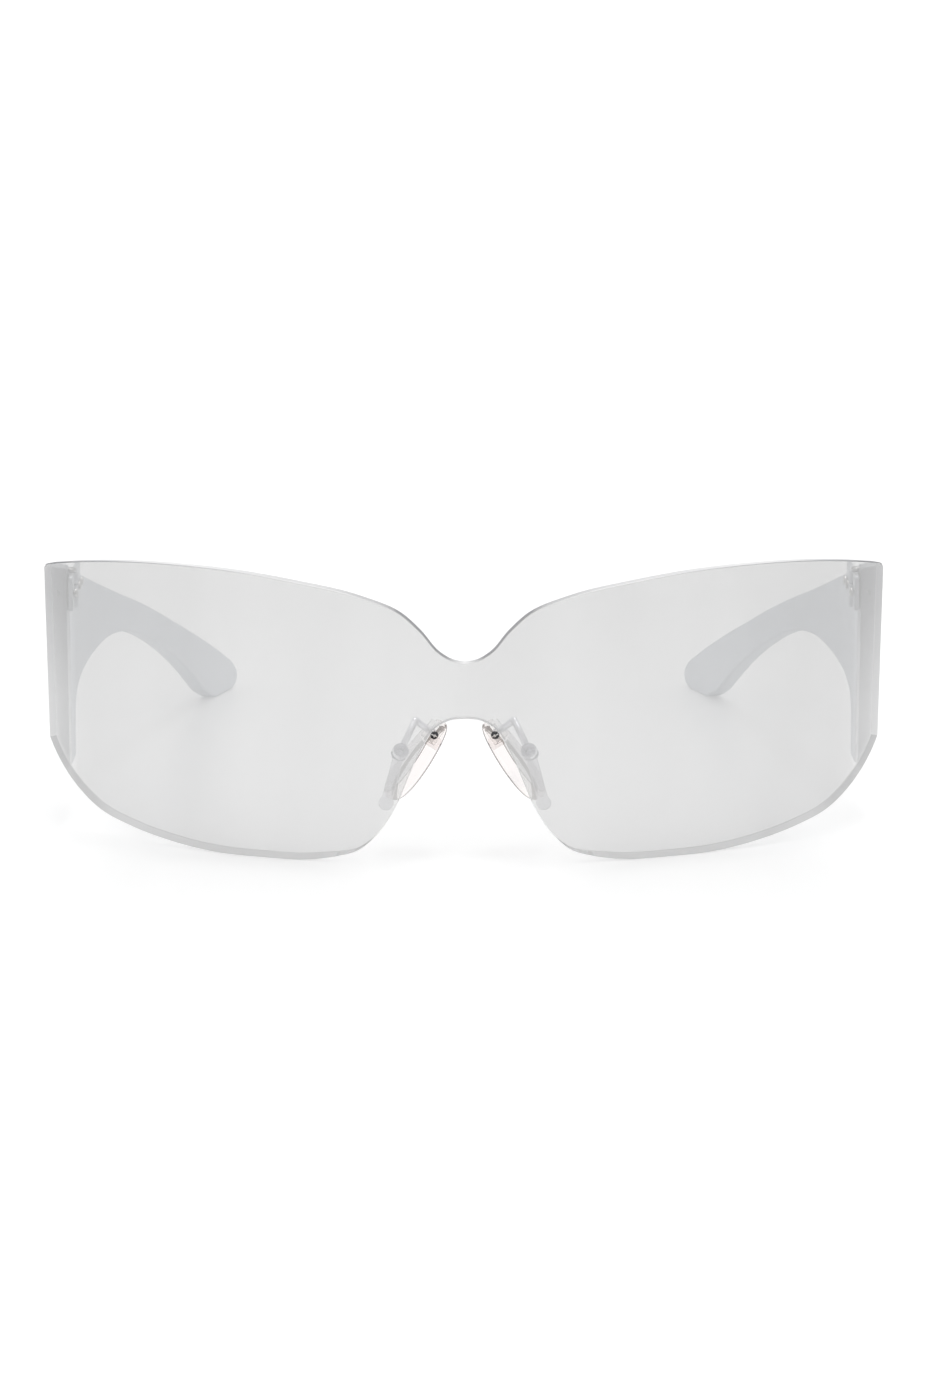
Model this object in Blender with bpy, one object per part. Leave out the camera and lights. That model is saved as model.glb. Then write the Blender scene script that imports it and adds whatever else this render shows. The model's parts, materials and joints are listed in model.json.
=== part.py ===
# Sunglasses with a one-piece mask lens, standing open on the lens and the temple tips.
# Metres, +Z up, +X to the wearer's left, the lens faces -Y and the temples run to +Y.
# The origin is on the table, below the middle of the part's box.

import math

import bmesh
import bpy
from mathutils import Matrix, Vector
from mathutils.geometry import interpolate_bezier

# Clearances
SEAT_GAP = 0.0003
BORE_GAP = 0.00022
OVERRUN = 0.001
CUT_SNAP = 0.00025
MERGE_DISTANCE = 0.0000125

# Lens: a shield cut from an upright cylinder
LENS_WIDTH = 0.1457
LENS_HEIGHT = 0.0495
LENS_RADIUS = 0.104
LENS_THICKNESS = 0.002
LENS_CHAMFER = 0.0002
LENS_STRIPS = 44
OUTLINE_DIVISIONS = 3

# Half outline of the lens as shares of its half width and height, from the brow notch to the rest
BROW_SHARES = (
    (0.000, 0.707), (0.032, 0.716), (0.058, 0.739), (0.103, 0.814), (0.148, 0.872), (0.240, 0.926),
    (0.400, 0.972), (0.530, 0.994), (0.660, 1.000), (0.780, 0.993), (0.907, 0.969), (0.985, 0.945),
)
CORNER_SHARES = ((0.995, 0.939), (1.000, 0.925))
SIDE_SHARES = ((0.994, 0.322), (0.987, 0.297), (0.970, 0.249))
CHEEK_SHARES = ((0.916, 0.150), (0.868, 0.096), (0.790, 0.054), (0.700, 0.024), (0.620, 0.007))
REST_SHARES = ((0.540, 0.000), (0.430, 0.000))

# Nose cut, as shares of its own half width and height, from the rest to the bridge
NOSE_HALF_WIDTH = 0.0262
NOSE_HEIGHT = 0.0254
NOSE_SHARES = (
    (1.000, 0.010), (0.811, 0.047), (0.706, 0.082), (0.597, 0.170), (0.455, 0.377), (0.371, 0.584),
    (0.314, 0.721), (0.243, 0.858), (0.200, 0.927), (0.157, 0.961), (0.095, 0.990), (0.000, 1.000),
)

# End piece: an upright bar on the back of each end of the lens
END_WIDTH = 0.0040
END_INSET = 0.0002
END_SIDE_DEPTH = 0.0008
END_SINK = 0.0001
END_FOOT_SHARE = 0.202
END_FOOT_SLOPE = 0.0055

# Temple: one curved plate with a leg at the front and an arch behind it
TEMPLE_LENGTH = 0.1135
TEMPLE_BEND_START = 0.0105
TEMPLE_BEND = 20.0
TEMPLE_BEND_STEPS = 24
TEMPLE_FRONT_THICKNESS = 0.0038
TEMPLE_MIDDLE_THICKNESS = 0.0028
TEMPLE_TIP_THICKNESS = 0.0034
TEMPLE_ROUND = 0.0006
TEMPLE_ROUND_STEPS = 2
TEMPLE_STRIPS = 26
TEMPLE_DIVISIONS = 3
MIDDLE_SHARE = 0.5

# Side view of the temple as shares of its length and of the end piece's top
TOP_EDGE_SHARES = (
    (0.000, 1.000), (0.194, 0.862), (0.397, 0.704), (0.550, 0.581), (0.727, 0.410), (0.863, 0.266),
    (0.948, 0.163),
)
TIP_SHARES = ((0.990, 0.098), (1.000, 0.055), (0.992, 0.018), (0.970, 0.000))
TIP_REST_SHARES = ((0.908, 0.000), (0.865, 0.035))
ARCH_SHARES = (
    (0.800, 0.136), (0.745, 0.222), (0.680, 0.308), (0.600, 0.398), (0.510, 0.477), (0.430, 0.521),
    (0.350, 0.538), (0.275, 0.529), (0.206, 0.509), (0.132, 0.470), (0.092, 0.425), (0.076, 0.360),
)
LEG_SHARES = ((0.064, 0.000), (0.000, 0.000))

# Hinge: a front leaf with one knuckle, a rear leaf with two, and a pin
KNUCKLE_COUNT = 3
HINGE_HEIGHT = 0.0062
HINGE_DROP = 0.0006
KNUCKLE_RADIUS = 0.0012
PIN_RADIUS = 0.00045
PIN_HEAD_RADIUS = 0.0009
PIN_HEAD_HEIGHT = 0.0005
AXIS_INSET = 0.00045
LEAF_THICKNESS = 0.0008
KNUCKLE_SETBACK = 0.0005
FRONT_LEAF_GAP = 0.0016
REAR_LEAF_LENGTH = 0.0085
REAR_SCREW_SHARES = (0.25, 0.75)
LEAF_SCREW_RADIUS = 0.0004
LEAF_SCREW_HEAD_RADIUS = 0.0008
LEAF_SCREW_HEAD_HEIGHT = 0.0005
LEAF_SCREW_REACH = 0.0014

# Nose bracket: a strap with a boss and a foot on the back of the lens
BOSS_X = 0.0111
BOSS_Z = 0.0188
BOSS_RADIUS = 0.0014
BOSS_DEPTH = 0.0024
STRAP_WIDTH = 0.0018
STRAP_DEPTH = 0.0009
FOOT_X = 0.0134
FOOT_Z = 0.0102
FOOT_RADIUS = 0.00125

# Pad arm: a bent wire with a flat eye at each end
WIRE_RADIUS = 0.0006
EYE_RADIUS = 0.0012
EYE_DEPTH = 0.0006
BRACKET_SCREW_RADIUS = 0.0004
BRACKET_SCREW_HEAD_RADIUS = 0.0008
BRACKET_SCREW_HEAD_HEIGHT = 0.0005
BRACKET_SCREW_REACH = 0.0014
LOOP_RISE = 0.0044
LOOP_BACK = 0.0020
LOOP_INSET = 0.0022
LOOP_TURN_SHARE = 0.2
WIRE_SINK_SHARE = 0.33
WIRE_BEVEL_STEPS = 2
WIRE_STEPS = 6

# Nose pad: a soft drop-shaped pad with a stiff core in its outer side
PAD_LENGTH = 0.0162
PAD_WIDTH = 0.0080
PAD_THICKNESS = 0.0027
PAD_ROUND = 0.0009
PAD_ROUND_STEPS = 2
PAD_NARROWING_SHARE = 0.143
PAD_FRONT_WALL = 0.0004
PAD_CENTRE_X = 0.0083
PAD_CENTRE_Y = 0.0100
PAD_CENTRE_Z = 0.0162
PAD_LEAN = 35.0
PAD_SPLAY = 17.0
PAD_SIDES = 28
CORE_LENGTH = 0.0034
CORE_WIDTH = 0.0030
CORE_PROUD = 0.0001
CORE_AXIS_DEPTH = 0.0008
CORE_RISE = 0.0056
CORE_SLOT = 0.0016
PAD_EYE_RADIUS = 0.0007
PAD_EYE_DEPTH = 0.0010
PAD_SCREW_RADIUS = 0.00025
PAD_SCREW_HEAD_RADIUS = 0.0007
PAD_SCREW_HEAD_HEIGHT = 0.0004

# Meshing
ROUND_SIDES = 20
SMALL_SIDES = 14
HALF_ROUND_STEPS = 10
KNUCKLE_STEPS = 18
ROUND_PROFILE_SHARE = 0.5
HANDLE_SHARE = 1 / 3
RIM_ANGLE = 55.0
SMOOTH_ANGLE = 35.0

HALF_WIDTH = LENS_WIDTH / 2
END_TOP = LENS_HEIGHT * CORNER_SHARES[-1][1] - END_SINK
END_FOOT = LENS_HEIGHT * END_FOOT_SHARE
CORE_DEPTH = PAD_THICKNESS + CORE_PROUD - PAD_FRONT_WALL - SEAT_GAP
BACK_RADIUS = LENS_RADIUS - LENS_THICKNESS
END_ANGLE = math.asin(HALF_WIDTH / LENS_RADIUS)
INNER_FACE = HALF_WIDTH - END_INSET - END_WIDTH
OUTER_FACE = HALF_WIDTH - END_INSET


def clear_scene():
    for item in list(bpy.data.objects):
        bpy.data.objects.remove(item, do_unlink=True)


def make_material(name, colour, roughness, metallic, transmission=0.0):
    material = bpy.data.materials.new(name)
    material.use_nodes = True
    shader = material.node_tree.nodes["Principled BSDF"]
    shader.inputs["Base Color"].default_value = (*colour, 1.0)
    shader.inputs["Roughness"].default_value = roughness
    shader.inputs["Metallic"].default_value = metallic
    shader.inputs["Transmission Weight"].default_value = transmission
    return material


def make_materials():
    return {
        "lens": make_material("mirror_lens", (0.78, 0.79, 0.80), 0.04, 0.4, 0.9),
        "end": make_material("smoke_grey_plastic", (0.55, 0.57, 0.60), 0.25, 0.1),
        "temple": make_material("satin_silver_plastic", (0.60, 0.63, 0.67), 0.32, 0.6),
        "steel": make_material("hinge_steel", (0.62, 0.62, 0.64), 0.25, 1.0),
        "screw": make_material("screw_steel", (0.75, 0.75, 0.76), 0.18, 1.0),
        "bracket": make_material("grey_bracket_plastic", (0.58, 0.60, 0.64), 0.25, 0.2),
        "pad": make_material("clear_silicone", (0.93, 0.91, 0.88), 0.2, 0.0, 0.8),
        "core": make_material("clear_core", (0.85, 0.85, 0.84), 0.2, 0.0, 0.5),
    }


# A smooth run through the given (x, z) points; either end can be given its slope
def smooth_run(points, divisions, first_slope=None, last_slope=None):
    vectors = [Vector(point) for point in points]
    slopes = []
    for index, here in enumerate(vectors):
        if index == 0:
            slope = (vectors[1] - here).normalized() if first_slope is None else Vector(first_slope)
        elif index == len(vectors) - 1:
            slope = (here - vectors[-2]).normalized() if last_slope is None else Vector(last_slope)
        else:
            before = here - vectors[index - 1]
            after = vectors[index + 1] - here
            slope = before.normalized() * after.length + after.normalized() * before.length
            slope = slope / (before.length + after.length)
        slopes.append(slope)
    run = []
    for index in range(len(vectors) - 1):
        start, end = vectors[index], vectors[index + 1]
        reach = (end - start).length * HANDLE_SHARE
        leave = start + slopes[index] * reach
        arrive = end - slopes[index + 1] * reach
        run += interpolate_bezier(start, leave, arrive, end, divisions + 1)[:-1]
    run.append(vectors[-1])
    return run


def scaled(shares, width, height):
    return [(x * width, z * height) for x, z in shares]


# The right half of the lens outline, from the notch round to the nose cut
def lens_half_outline():
    brow = smooth_run(scaled(BROW_SHARES, HALF_WIDTH, LENS_HEIGHT), OUTLINE_DIVISIONS, (1, 0))
    corner = [Vector(point) for point in scaled(CORNER_SHARES, HALF_WIDTH, LENS_HEIGHT)]
    rest_outer, rest_inner = scaled(REST_SHARES, HALF_WIDTH, LENS_HEIGHT)
    cheek_points = scaled(SIDE_SHARES + CHEEK_SHARES, HALF_WIDTH, LENS_HEIGHT) + [rest_outer]
    cheek = smooth_run(cheek_points, OUTLINE_DIVISIONS, None, (-1, 0))
    nose_points = [rest_inner] + scaled(NOSE_SHARES, NOSE_HALF_WIDTH, NOSE_HEIGHT)
    nose = smooth_run(nose_points, OUTLINE_DIVISIONS, (-1, 0), (-1, 0))
    return brow + corner + cheek + nose


# One flat face in the XZ plane, cut by evenly spaced upright planes so that it can bend
def cut_face(points, strips, start, end):
    sheet = bmesh.new()
    sheet.faces.new([sheet.verts.new((x, 0, z)) for x, z in points])
    for index in range(1, strips):
        place = start + (end - start) * index / strips
        bmesh.ops.bisect_plane(
            sheet,
            geom=sheet.verts[:] + sheet.edges[:] + sheet.faces[:],
            dist=CUT_SNAP,
            plane_co=(place, 0, 0),
            plane_no=(1, 0, 0),
        )
    return sheet


# Gives a bent sheet its thickness: place(x, z, share) says where a point of the flat face goes
def thicken(sheet, place):
    front = sheet.verts[:]
    twins = {}
    result = bmesh.ops.extrude_face_region(sheet, geom=sheet.faces[:], use_keep_orig=True)
    back = [item for item in result["geom"] if isinstance(item, bmesh.types.BMVert)]
    for vert in back:
        twins[vert] = vert.co.copy()
    for vert in front:
        vert.co = place(vert.co.x, vert.co.z, 0)
    for vert, flat in twins.items():
        vert.co = place(flat.x, flat.z, 1)
    bmesh.ops.recalc_face_normals(sheet, faces=sheet.faces[:])


# The edges where the two broad faces meet the rim of a thickened sheet
def rim_edges(sheet):
    return [edge for edge in sheet.edges if edge.calc_face_angle(0) > math.radians(RIM_ANGLE)]


def round_edges(shape, edges, width, steps):
    bmesh.ops.bevel(
        shape, geom=edges, offset=width, segments=steps, profile=ROUND_PROFILE_SHARE, affect="EDGES",
        material=-1, clamp_overlap=True,
    )


# A spot in plan on a circle about the lens's own axis
def on_circle(angle, radius):
    return Vector((radius * math.sin(angle), LENS_RADIUS - radius * math.cos(angle)))


def lens_mesh():
    half = lens_half_outline()
    other = [Vector((-point.x, point.y)) for point in reversed(half[1:-1])]
    sheet = cut_face(half + other, LENS_STRIPS, -HALF_WIDTH, HALF_WIDTH)

    def place(x, z, share):
        spot = on_circle(math.asin(x / LENS_RADIUS), LENS_RADIUS - LENS_THICKNESS * share)
        return Vector((spot.x, spot.y, z))

    thicken(sheet, place)
    round_edges(sheet, rim_edges(sheet), LENS_CHAMFER, 1)
    return sheet


# An upright prism over a plan outline
def prism(outline, bottom, top):
    shape = bmesh.new()
    face = shape.faces.new([shape.verts.new((x, y, bottom)) for x, y in outline])
    result = bmesh.ops.extrude_face_region(shape, geom=[face])
    lifted = [item for item in result["geom"] if isinstance(item, bmesh.types.BMVert)]
    bmesh.ops.translate(shape, verts=lifted, vec=(0, 0, top - bottom))
    bmesh.ops.recalc_face_normals(shape, faces=shape.faces[:])
    return shape


# A round bar from start to end
def round_bar(start, end, radius, sides=ROUND_SIDES):
    start, end = Vector(start), Vector(end)
    along = end - start
    turn = along.to_track_quat("Z", "Y").to_matrix().to_4x4()
    shape = bmesh.new()
    bmesh.ops.create_cone(
        shape, cap_ends=True, segments=sides, radius1=radius, radius2=radius, depth=along.length,
        matrix=Matrix.Translation((start + end) / 2) @ turn,
    )
    return shape


# A screw: a round head on a shank, both turned round one line
def screw_mesh(seat, direction, shank_radius, reach, head_radius, head_height):
    direction = Vector(direction).normalized()
    turn = direction.to_track_quat("Z", "Y").to_matrix().to_4x4()
    profile = (
        (0, -reach), (shank_radius, -reach), (shank_radius, 0),
        (head_radius, 0), (head_radius, head_height), (0, head_height),
    )
    shape = bmesh.new()
    verts = [shape.verts.new((radius, 0, height)) for radius, height in profile]
    edges = [shape.edges.new((first, second)) for first, second in zip(verts, verts[1:])]
    bmesh.ops.spin(
        shape, geom=edges + verts, cent=(0, 0, 0), axis=(0, 0, 1), angle=math.tau, steps=SMALL_SIDES,
        use_merge=True,
    )
    bmesh.ops.remove_doubles(shape, verts=shape.verts[:], dist=MERGE_DISTANCE)
    bmesh.ops.recalc_face_normals(shape, faces=shape.faces[:])
    bmesh.ops.transform(shape, matrix=Matrix.Translation(seat) @ turn, verts=shape.verts[:])
    return shape


# Keeps what lies on the side that the normal points to, and closes the cut
def trim(shape, point, normal):
    result = bmesh.ops.bisect_plane(
        shape, geom=shape.verts[:] + shape.edges[:] + shape.faces[:], dist=MERGE_DISTANCE,
        plane_co=point, plane_no=normal, clear_inner=True,
    )
    cut = [item for item in result["geom_cut"] if isinstance(item, bmesh.types.BMEdge)]
    bmesh.ops.contextual_create(shape, geom=cut)
    bmesh.ops.recalc_face_normals(shape, faces=shape.faces[:])


# Makes an object from a mesh drawn for the side at +X, mirrored for the side at -X
def make_object(name, shape, material, side=1, parent=None, smooth=True):
    if side < 0:
        bmesh.ops.scale(shape, vec=(-1, 1, 1), verts=shape.verts[:])
        bmesh.ops.reverse_faces(shape, faces=shape.faces[:])
    pivot = Vector((0, 0, 0)) if parent is None else parent.location
    bmesh.ops.translate(shape, vec=-pivot, verts=shape.verts[:])
    mesh = bpy.data.meshes.new(name)
    shape.to_mesh(mesh)
    shape.free()
    if smooth:
        mesh.shade_smooth()
        mesh.set_sharp_from_angle(angle=math.radians(SMOOTH_ANGLE))
    if material is not None:
        mesh.materials.append(material)
    item = bpy.data.objects.new(name, mesh)
    item.parent = parent
    bpy.context.scene.collection.objects.link(item)
    return item


def make_pivot(name, place, side):
    pivot = bpy.data.objects.new(name, None)
    pivot.location = (place[0] * side, place[1], place[2])
    pivot.empty_display_size = KNUCKLE_RADIUS
    bpy.context.scene.collection.objects.link(pivot)
    return pivot


# Adds or takes away a second mesh, which stays as a hidden guide
def combine(item, shape, operation, side=1):
    guide = make_object(f"{item.name}.guide", shape, None, side, item.parent, smooth=False)
    guide.hide_render = True
    guide.display_type = "WIRE"
    modifier = item.modifiers.new(operation.lower(), "BOOLEAN")
    modifier.operation = operation
    modifier.solver = "EXACT"
    modifier.object = guide
    return guide


# Plan of the corner, where the end piece sits on the lens and carries the hinge
class Corner:
    front_circle = BACK_RADIUS - SEAT_GAP
    inner_angle = math.asin(INNER_FACE / front_circle)
    seat_end = on_circle(END_ANGLE, front_circle)
    flank_y = seat_end.y + (OUTER_FACE - seat_end.x) * math.tan(END_ANGLE)
    back = flank_y + END_SIDE_DEPTH
    temple_start = back + SEAT_GAP
    axis_x = INNER_FACE - AXIS_INSET
    axis_y = back + SEAT_GAP / 2
    hinge_top = END_TOP - HINGE_DROP - PIN_HEAD_HEIGHT - SEAT_GAP
    hinge_bottom = hinge_top - HINGE_HEIGHT
    knuckle = HINGE_HEIGHT / KNUCKLE_COUNT
    leaf_outer = INNER_FACE - SEAT_GAP
    leaf_inner = leaf_outer - LEAF_THICKNESS
    swing = KNUCKLE_RADIUS + SEAT_GAP
    front_leaf_end = on_circle(math.asin(leaf_inner / BACK_RADIUS), BACK_RADIUS).y + FRONT_LEAF_GAP
    front_leaf_length = axis_y - swing - front_leaf_end
    front_screw_y = axis_y - swing - front_leaf_length / 2


def rear_screw_places():
    return [Corner.axis_y + Corner.swing + REAR_LEAF_LENGTH * share for share in REAR_SCREW_SHARES]


def end_piece_mesh():
    seat_angles = (Corner.inner_angle, (Corner.inner_angle + END_ANGLE) / 2, END_ANGLE)
    outline = [on_circle(angle, Corner.front_circle) for angle in seat_angles] + [
        (OUTER_FACE, Corner.flank_y),
        (OUTER_FACE, Corner.back),
        (INNER_FACE, Corner.back),
    ]
    shape = prism(outline, END_FOOT - END_FOOT_SLOPE, END_TOP)
    trim_foot(shape)
    return shape


# The slanting foot, which follows the lower corner of the lens
def trim_foot(shape):
    normal = Vector((-END_FOOT_SLOPE, 0, END_WIDTH)).normalized()
    trim(shape, (INNER_FACE, 0, END_FOOT), normal)


# The temple's heading in plan, which turns inwards quickly at first and then ever more slowly
def temple_heading(bent_length):
    return math.radians(TEMPLE_BEND) * math.sqrt(bent_length / (TEMPLE_LENGTH - TEMPLE_BEND_START))


# Where the temple's inner face runs in plan, and which way it heads there
def temple_path(along):
    spot = Vector((INNER_FACE, Corner.temple_start))
    straight = min(along, TEMPLE_BEND_START)
    spot.y += straight
    run = (along - straight) / TEMPLE_BEND_STEPS
    for index in range(TEMPLE_BEND_STEPS):
        heading = temple_heading(run * (index + MIDDLE_SHARE))
        spot += Vector((-math.sin(heading), math.cos(heading))) * run
    return spot, temple_heading(along - straight)


def temple_thickness(along):
    share = along / TEMPLE_LENGTH
    if share < MIDDLE_SHARE:
        ease = (1 - math.cos(math.pi * share / MIDDLE_SHARE)) / 2
        return TEMPLE_FRONT_THICKNESS + (TEMPLE_MIDDLE_THICKNESS - TEMPLE_FRONT_THICKNESS) * ease
    ease = (1 - math.cos(math.pi * (share - MIDDLE_SHARE) / (1 - MIDDLE_SHARE))) / 2
    return TEMPLE_MIDDLE_THICKNESS + (TEMPLE_TIP_THICKNESS - TEMPLE_MIDDLE_THICKNESS) * ease


def temple_outline():
    top_points = scaled(TOP_EDGE_SHARES + TIP_SHARES, TEMPLE_LENGTH, END_TOP)
    top = smooth_run(top_points, TEMPLE_DIVISIONS, None, (-1, 0))
    lower_points = scaled(TIP_REST_SHARES + ARCH_SHARES, TEMPLE_LENGTH, END_TOP)
    lower = smooth_run(lower_points, TEMPLE_DIVISIONS, (-1, 0), (0, -1))
    leg = [Vector(point) for point in scaled(LEG_SHARES, TEMPLE_LENGTH, END_TOP)]
    return top + lower + leg


def temple_mesh():
    sheet = cut_face(temple_outline(), TEMPLE_STRIPS, 0, TEMPLE_LENGTH)

    def place(along, z, share):
        spot, heading = temple_path(along)
        spot += Vector((math.cos(heading), math.sin(heading))) * temple_thickness(along) * share
        return Vector((spot.x, spot.y, z))

    thicken(sheet, place)
    trim_foot(sheet)
    front = Corner.temple_start + SEAT_GAP / 2
    rim = [edge for edge in rim_edges(sheet) if max(vert.co.y for vert in edge.verts) > front]
    round_edges(sheet, rim, TEMPLE_ROUND, TEMPLE_ROUND_STEPS)
    return sheet


# A knuckle with a tail: round about the axis, and flat where it runs along its leaf
def knuckle_outline(tail):
    outline = []
    way = 1 if tail > 0 else -1
    start = math.acos((Corner.leaf_outer - Corner.axis_x) / KNUCKLE_RADIUS)
    end = math.acos((Corner.leaf_inner - Corner.axis_x) / KNUCKLE_RADIUS)
    turn = math.tau - (end - start)
    for index in range(KNUCKLE_STEPS + 1):
        angle = start - turn * index / KNUCKLE_STEPS
        outline.append((
            Corner.axis_x + KNUCKLE_RADIUS * math.cos(angle),
            Corner.axis_y + way * KNUCKLE_RADIUS * math.sin(angle),
        ))
    outline.append((Corner.leaf_inner, Corner.axis_y + tail))
    outline.append((Corner.leaf_outer, Corner.axis_y + tail))
    return outline


def leaf_plate(near, far):
    outline = (
        (Corner.leaf_inner, Corner.axis_y + near),
        (Corner.leaf_outer, Corner.axis_y + near),
        (Corner.leaf_outer, Corner.axis_y + far),
        (Corner.leaf_inner, Corner.axis_y + far),
    )
    return prism(outline, Corner.hinge_bottom, Corner.hinge_top)


def pin_bore():
    top = Corner.hinge_top + OVERRUN
    bottom = Corner.hinge_bottom - OVERRUN
    start = (Corner.axis_x, Corner.axis_y, bottom)
    return round_bar(start, (Corner.axis_x, Corner.axis_y, top), PIN_RADIUS + BORE_GAP)


def leaf_hole(y, reach):
    z = (Corner.hinge_top + Corner.hinge_bottom) / 2
    start = (Corner.leaf_inner - OVERRUN, y, z)
    return round_bar(start, (Corner.leaf_inner + reach, y, z), LEAF_SCREW_RADIUS + BORE_GAP, SMALL_SIDES)


def front_leaf(name, material, side):
    low = Corner.hinge_bottom + Corner.knuckle + SEAT_GAP / 2
    high = Corner.hinge_top - Corner.knuckle - SEAT_GAP / 2
    tail = -(Corner.swing + Corner.front_leaf_length)
    leaf = make_object(name, leaf_plate(-Corner.swing, tail), material, side)
    combine(leaf, prism(knuckle_outline(tail + KNUCKLE_SETBACK), low, high), "UNION", side)
    combine(leaf, pin_bore(), "DIFFERENCE", side)
    combine(leaf, leaf_hole(Corner.front_screw_y, LEAF_THICKNESS + OVERRUN), "DIFFERENCE", side)
    return leaf


def rear_leaf(name, material, side, pivot):
    tail = Corner.swing + REAR_LEAF_LENGTH
    leaf = make_object(name, leaf_plate(Corner.swing, tail), material, side, pivot)
    step = Corner.knuckle - SEAT_GAP / 2
    outline = knuckle_outline(tail - KNUCKLE_SETBACK)
    combine(leaf, prism(outline, Corner.hinge_bottom, Corner.hinge_bottom + step), "UNION", side)
    combine(leaf, prism(outline, Corner.hinge_top - step, Corner.hinge_top), "UNION", side)
    combine(leaf, pin_bore(), "DIFFERENCE", side)
    for y in rear_screw_places():
        combine(leaf, leaf_hole(y, LEAF_THICKNESS + OVERRUN), "DIFFERENCE", side)
    return leaf


def leaf_screw(name, y, material, side, pivot=None):
    z = (Corner.hinge_top + Corner.hinge_bottom) / 2
    seat = (Corner.leaf_inner - SEAT_GAP, y, z)
    reach = SEAT_GAP + LEAF_THICKNESS + SEAT_GAP + LEAF_SCREW_REACH
    shape = screw_mesh(
        seat, (-1, 0, 0), LEAF_SCREW_RADIUS, reach, LEAF_SCREW_HEAD_RADIUS, LEAF_SCREW_HEAD_HEIGHT,
    )
    return make_object(name, shape, material, side, pivot)


# The pocket that the knuckles need in the end piece and in the temple
def knuckle_pocket():
    low = (Corner.axis_x, Corner.axis_y, Corner.hinge_bottom - SEAT_GAP)
    high = (Corner.axis_x, Corner.axis_y, END_TOP + OVERRUN)
    return round_bar(low, high, Corner.swing)


def hinge_pin(name, material, side):
    seat = (Corner.axis_x, Corner.axis_y, Corner.hinge_top + SEAT_GAP)
    shape = screw_mesh(
        seat, (0, 0, 1), PIN_RADIUS, SEAT_GAP + HINGE_HEIGHT, PIN_HEAD_RADIUS, PIN_HEAD_HEIGHT,
    )
    return make_object(name, shape, material, side)


def make_corner(side, word, materials):
    screw_reach = LEAF_THICKNESS + SEAT_GAP + LEAF_SCREW_REACH + SEAT_GAP
    end_piece = make_object(f"end_piece_{word}", end_piece_mesh(), materials["end"], side)
    combine(end_piece, knuckle_pocket(), "DIFFERENCE", side)
    combine(end_piece, leaf_hole(Corner.front_screw_y, screw_reach), "DIFFERENCE", side)
    front_leaf(f"hinge_front_{word}", materials["steel"], side)
    leaf_screw(f"hinge_front_screw_{word}", Corner.front_screw_y, materials["screw"], side)
    hinge_pin(f"hinge_pin_{word}", materials["screw"], side)

    pivot = make_pivot(f"temple_pivot_{word}", (Corner.axis_x, Corner.axis_y, 0), side)
    temple = make_object(f"temple_{word}", temple_mesh(), materials["temple"], side, pivot)
    combine(temple, knuckle_pocket(), "DIFFERENCE", side)
    for y in rear_screw_places():
        combine(temple, leaf_hole(y, screw_reach), "DIFFERENCE", side)
    rear_leaf(f"hinge_rear_{word}", materials["steel"], side, pivot)
    for index, y in enumerate(rear_screw_places(), start=1):
        leaf_screw(f"hinge_rear_screw_{index}_{word}", y, materials["screw"], side, pivot)
    return pivot


# Plan of the nose fittings. The bracket lies flat against the lens at the boss.
class Nose:
    boss_angle = math.asin(BOSS_X / BACK_RADIUS)
    backwards = Vector((-math.sin(boss_angle), math.cos(boss_angle), 0))
    boss_seat = Vector((
        (BACK_RADIUS - SEAT_GAP) * math.sin(boss_angle),
        LENS_RADIUS - (BACK_RADIUS - SEAT_GAP) * math.cos(boss_angle),
        BOSS_Z,
    ))
    lean = math.radians(PAD_LEAN)
    splay = math.radians(PAD_SPLAY)
    along = Vector((-math.sin(lean), 0, math.cos(lean)))
    flat_normal = Vector((-math.cos(lean), 0, -math.sin(lean)))
    face = flat_normal * math.cos(splay) + Vector((0, 1, 0)) * math.sin(splay)
    across = along.cross(face)
    centre = Vector((PAD_CENTRE_X, PAD_CENTRE_Y, PAD_CENTRE_Z))
    core_back = centre + along * CORE_RISE - face * (PAD_THICKNESS / 2 + CORE_PROUD)
    core_centre = core_back + face * (CORE_DEPTH / 2)
    rocker = core_back + face * CORE_AXIS_DEPTH


def nose_matrix(origin, x_axis, y_axis, z_axis):
    matrix = Matrix.Identity(4)
    for column, axis in enumerate((x_axis, y_axis, z_axis)):
        for row in range(3):
            matrix[row][column] = axis[row]
    return Matrix.Translation(origin) @ matrix


# A strap in its own flat plan, round at both ends and laid from one spot to another
def strap_outline(start, end, start_radius, end_radius, width):
    start, end = Vector(start), Vector(end)
    along = (end - start).normalized()
    across = Vector((-along.y, along.x))
    outline = []
    for spot, radius, sign in ((end, end_radius, 1), (start, start_radius, -1)):
        opening = math.asin(width / 2 / radius)
        for index in range(HALF_ROUND_STEPS + 1):
            angle = math.pi - opening - (math.tau - 2 * opening) * index / HALF_ROUND_STEPS
            outline.append(
                spot + along * sign * radius * math.cos(angle) + across * sign * radius * math.sin(angle)
            )
    return [(point.x, point.y) for point in outline]


def bracket_mesh():
    sideways = Nose.backwards.cross(Vector((0, 0, 1)))
    foot = (FOOT_X - BOSS_X, FOOT_Z - BOSS_Z)
    shape = prism(strap_outline((0, 0), foot, BOSS_RADIUS, FOOT_RADIUS, STRAP_WIDTH), 0, STRAP_DEPTH)
    matrix = nose_matrix(Nose.boss_seat, sideways, Vector((0, 0, 1)), Nose.backwards)
    bmesh.ops.transform(shape, matrix=matrix, verts=shape.verts[:])
    bmesh.ops.recalc_face_normals(shape, faces=shape.faces[:])
    return shape


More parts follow.
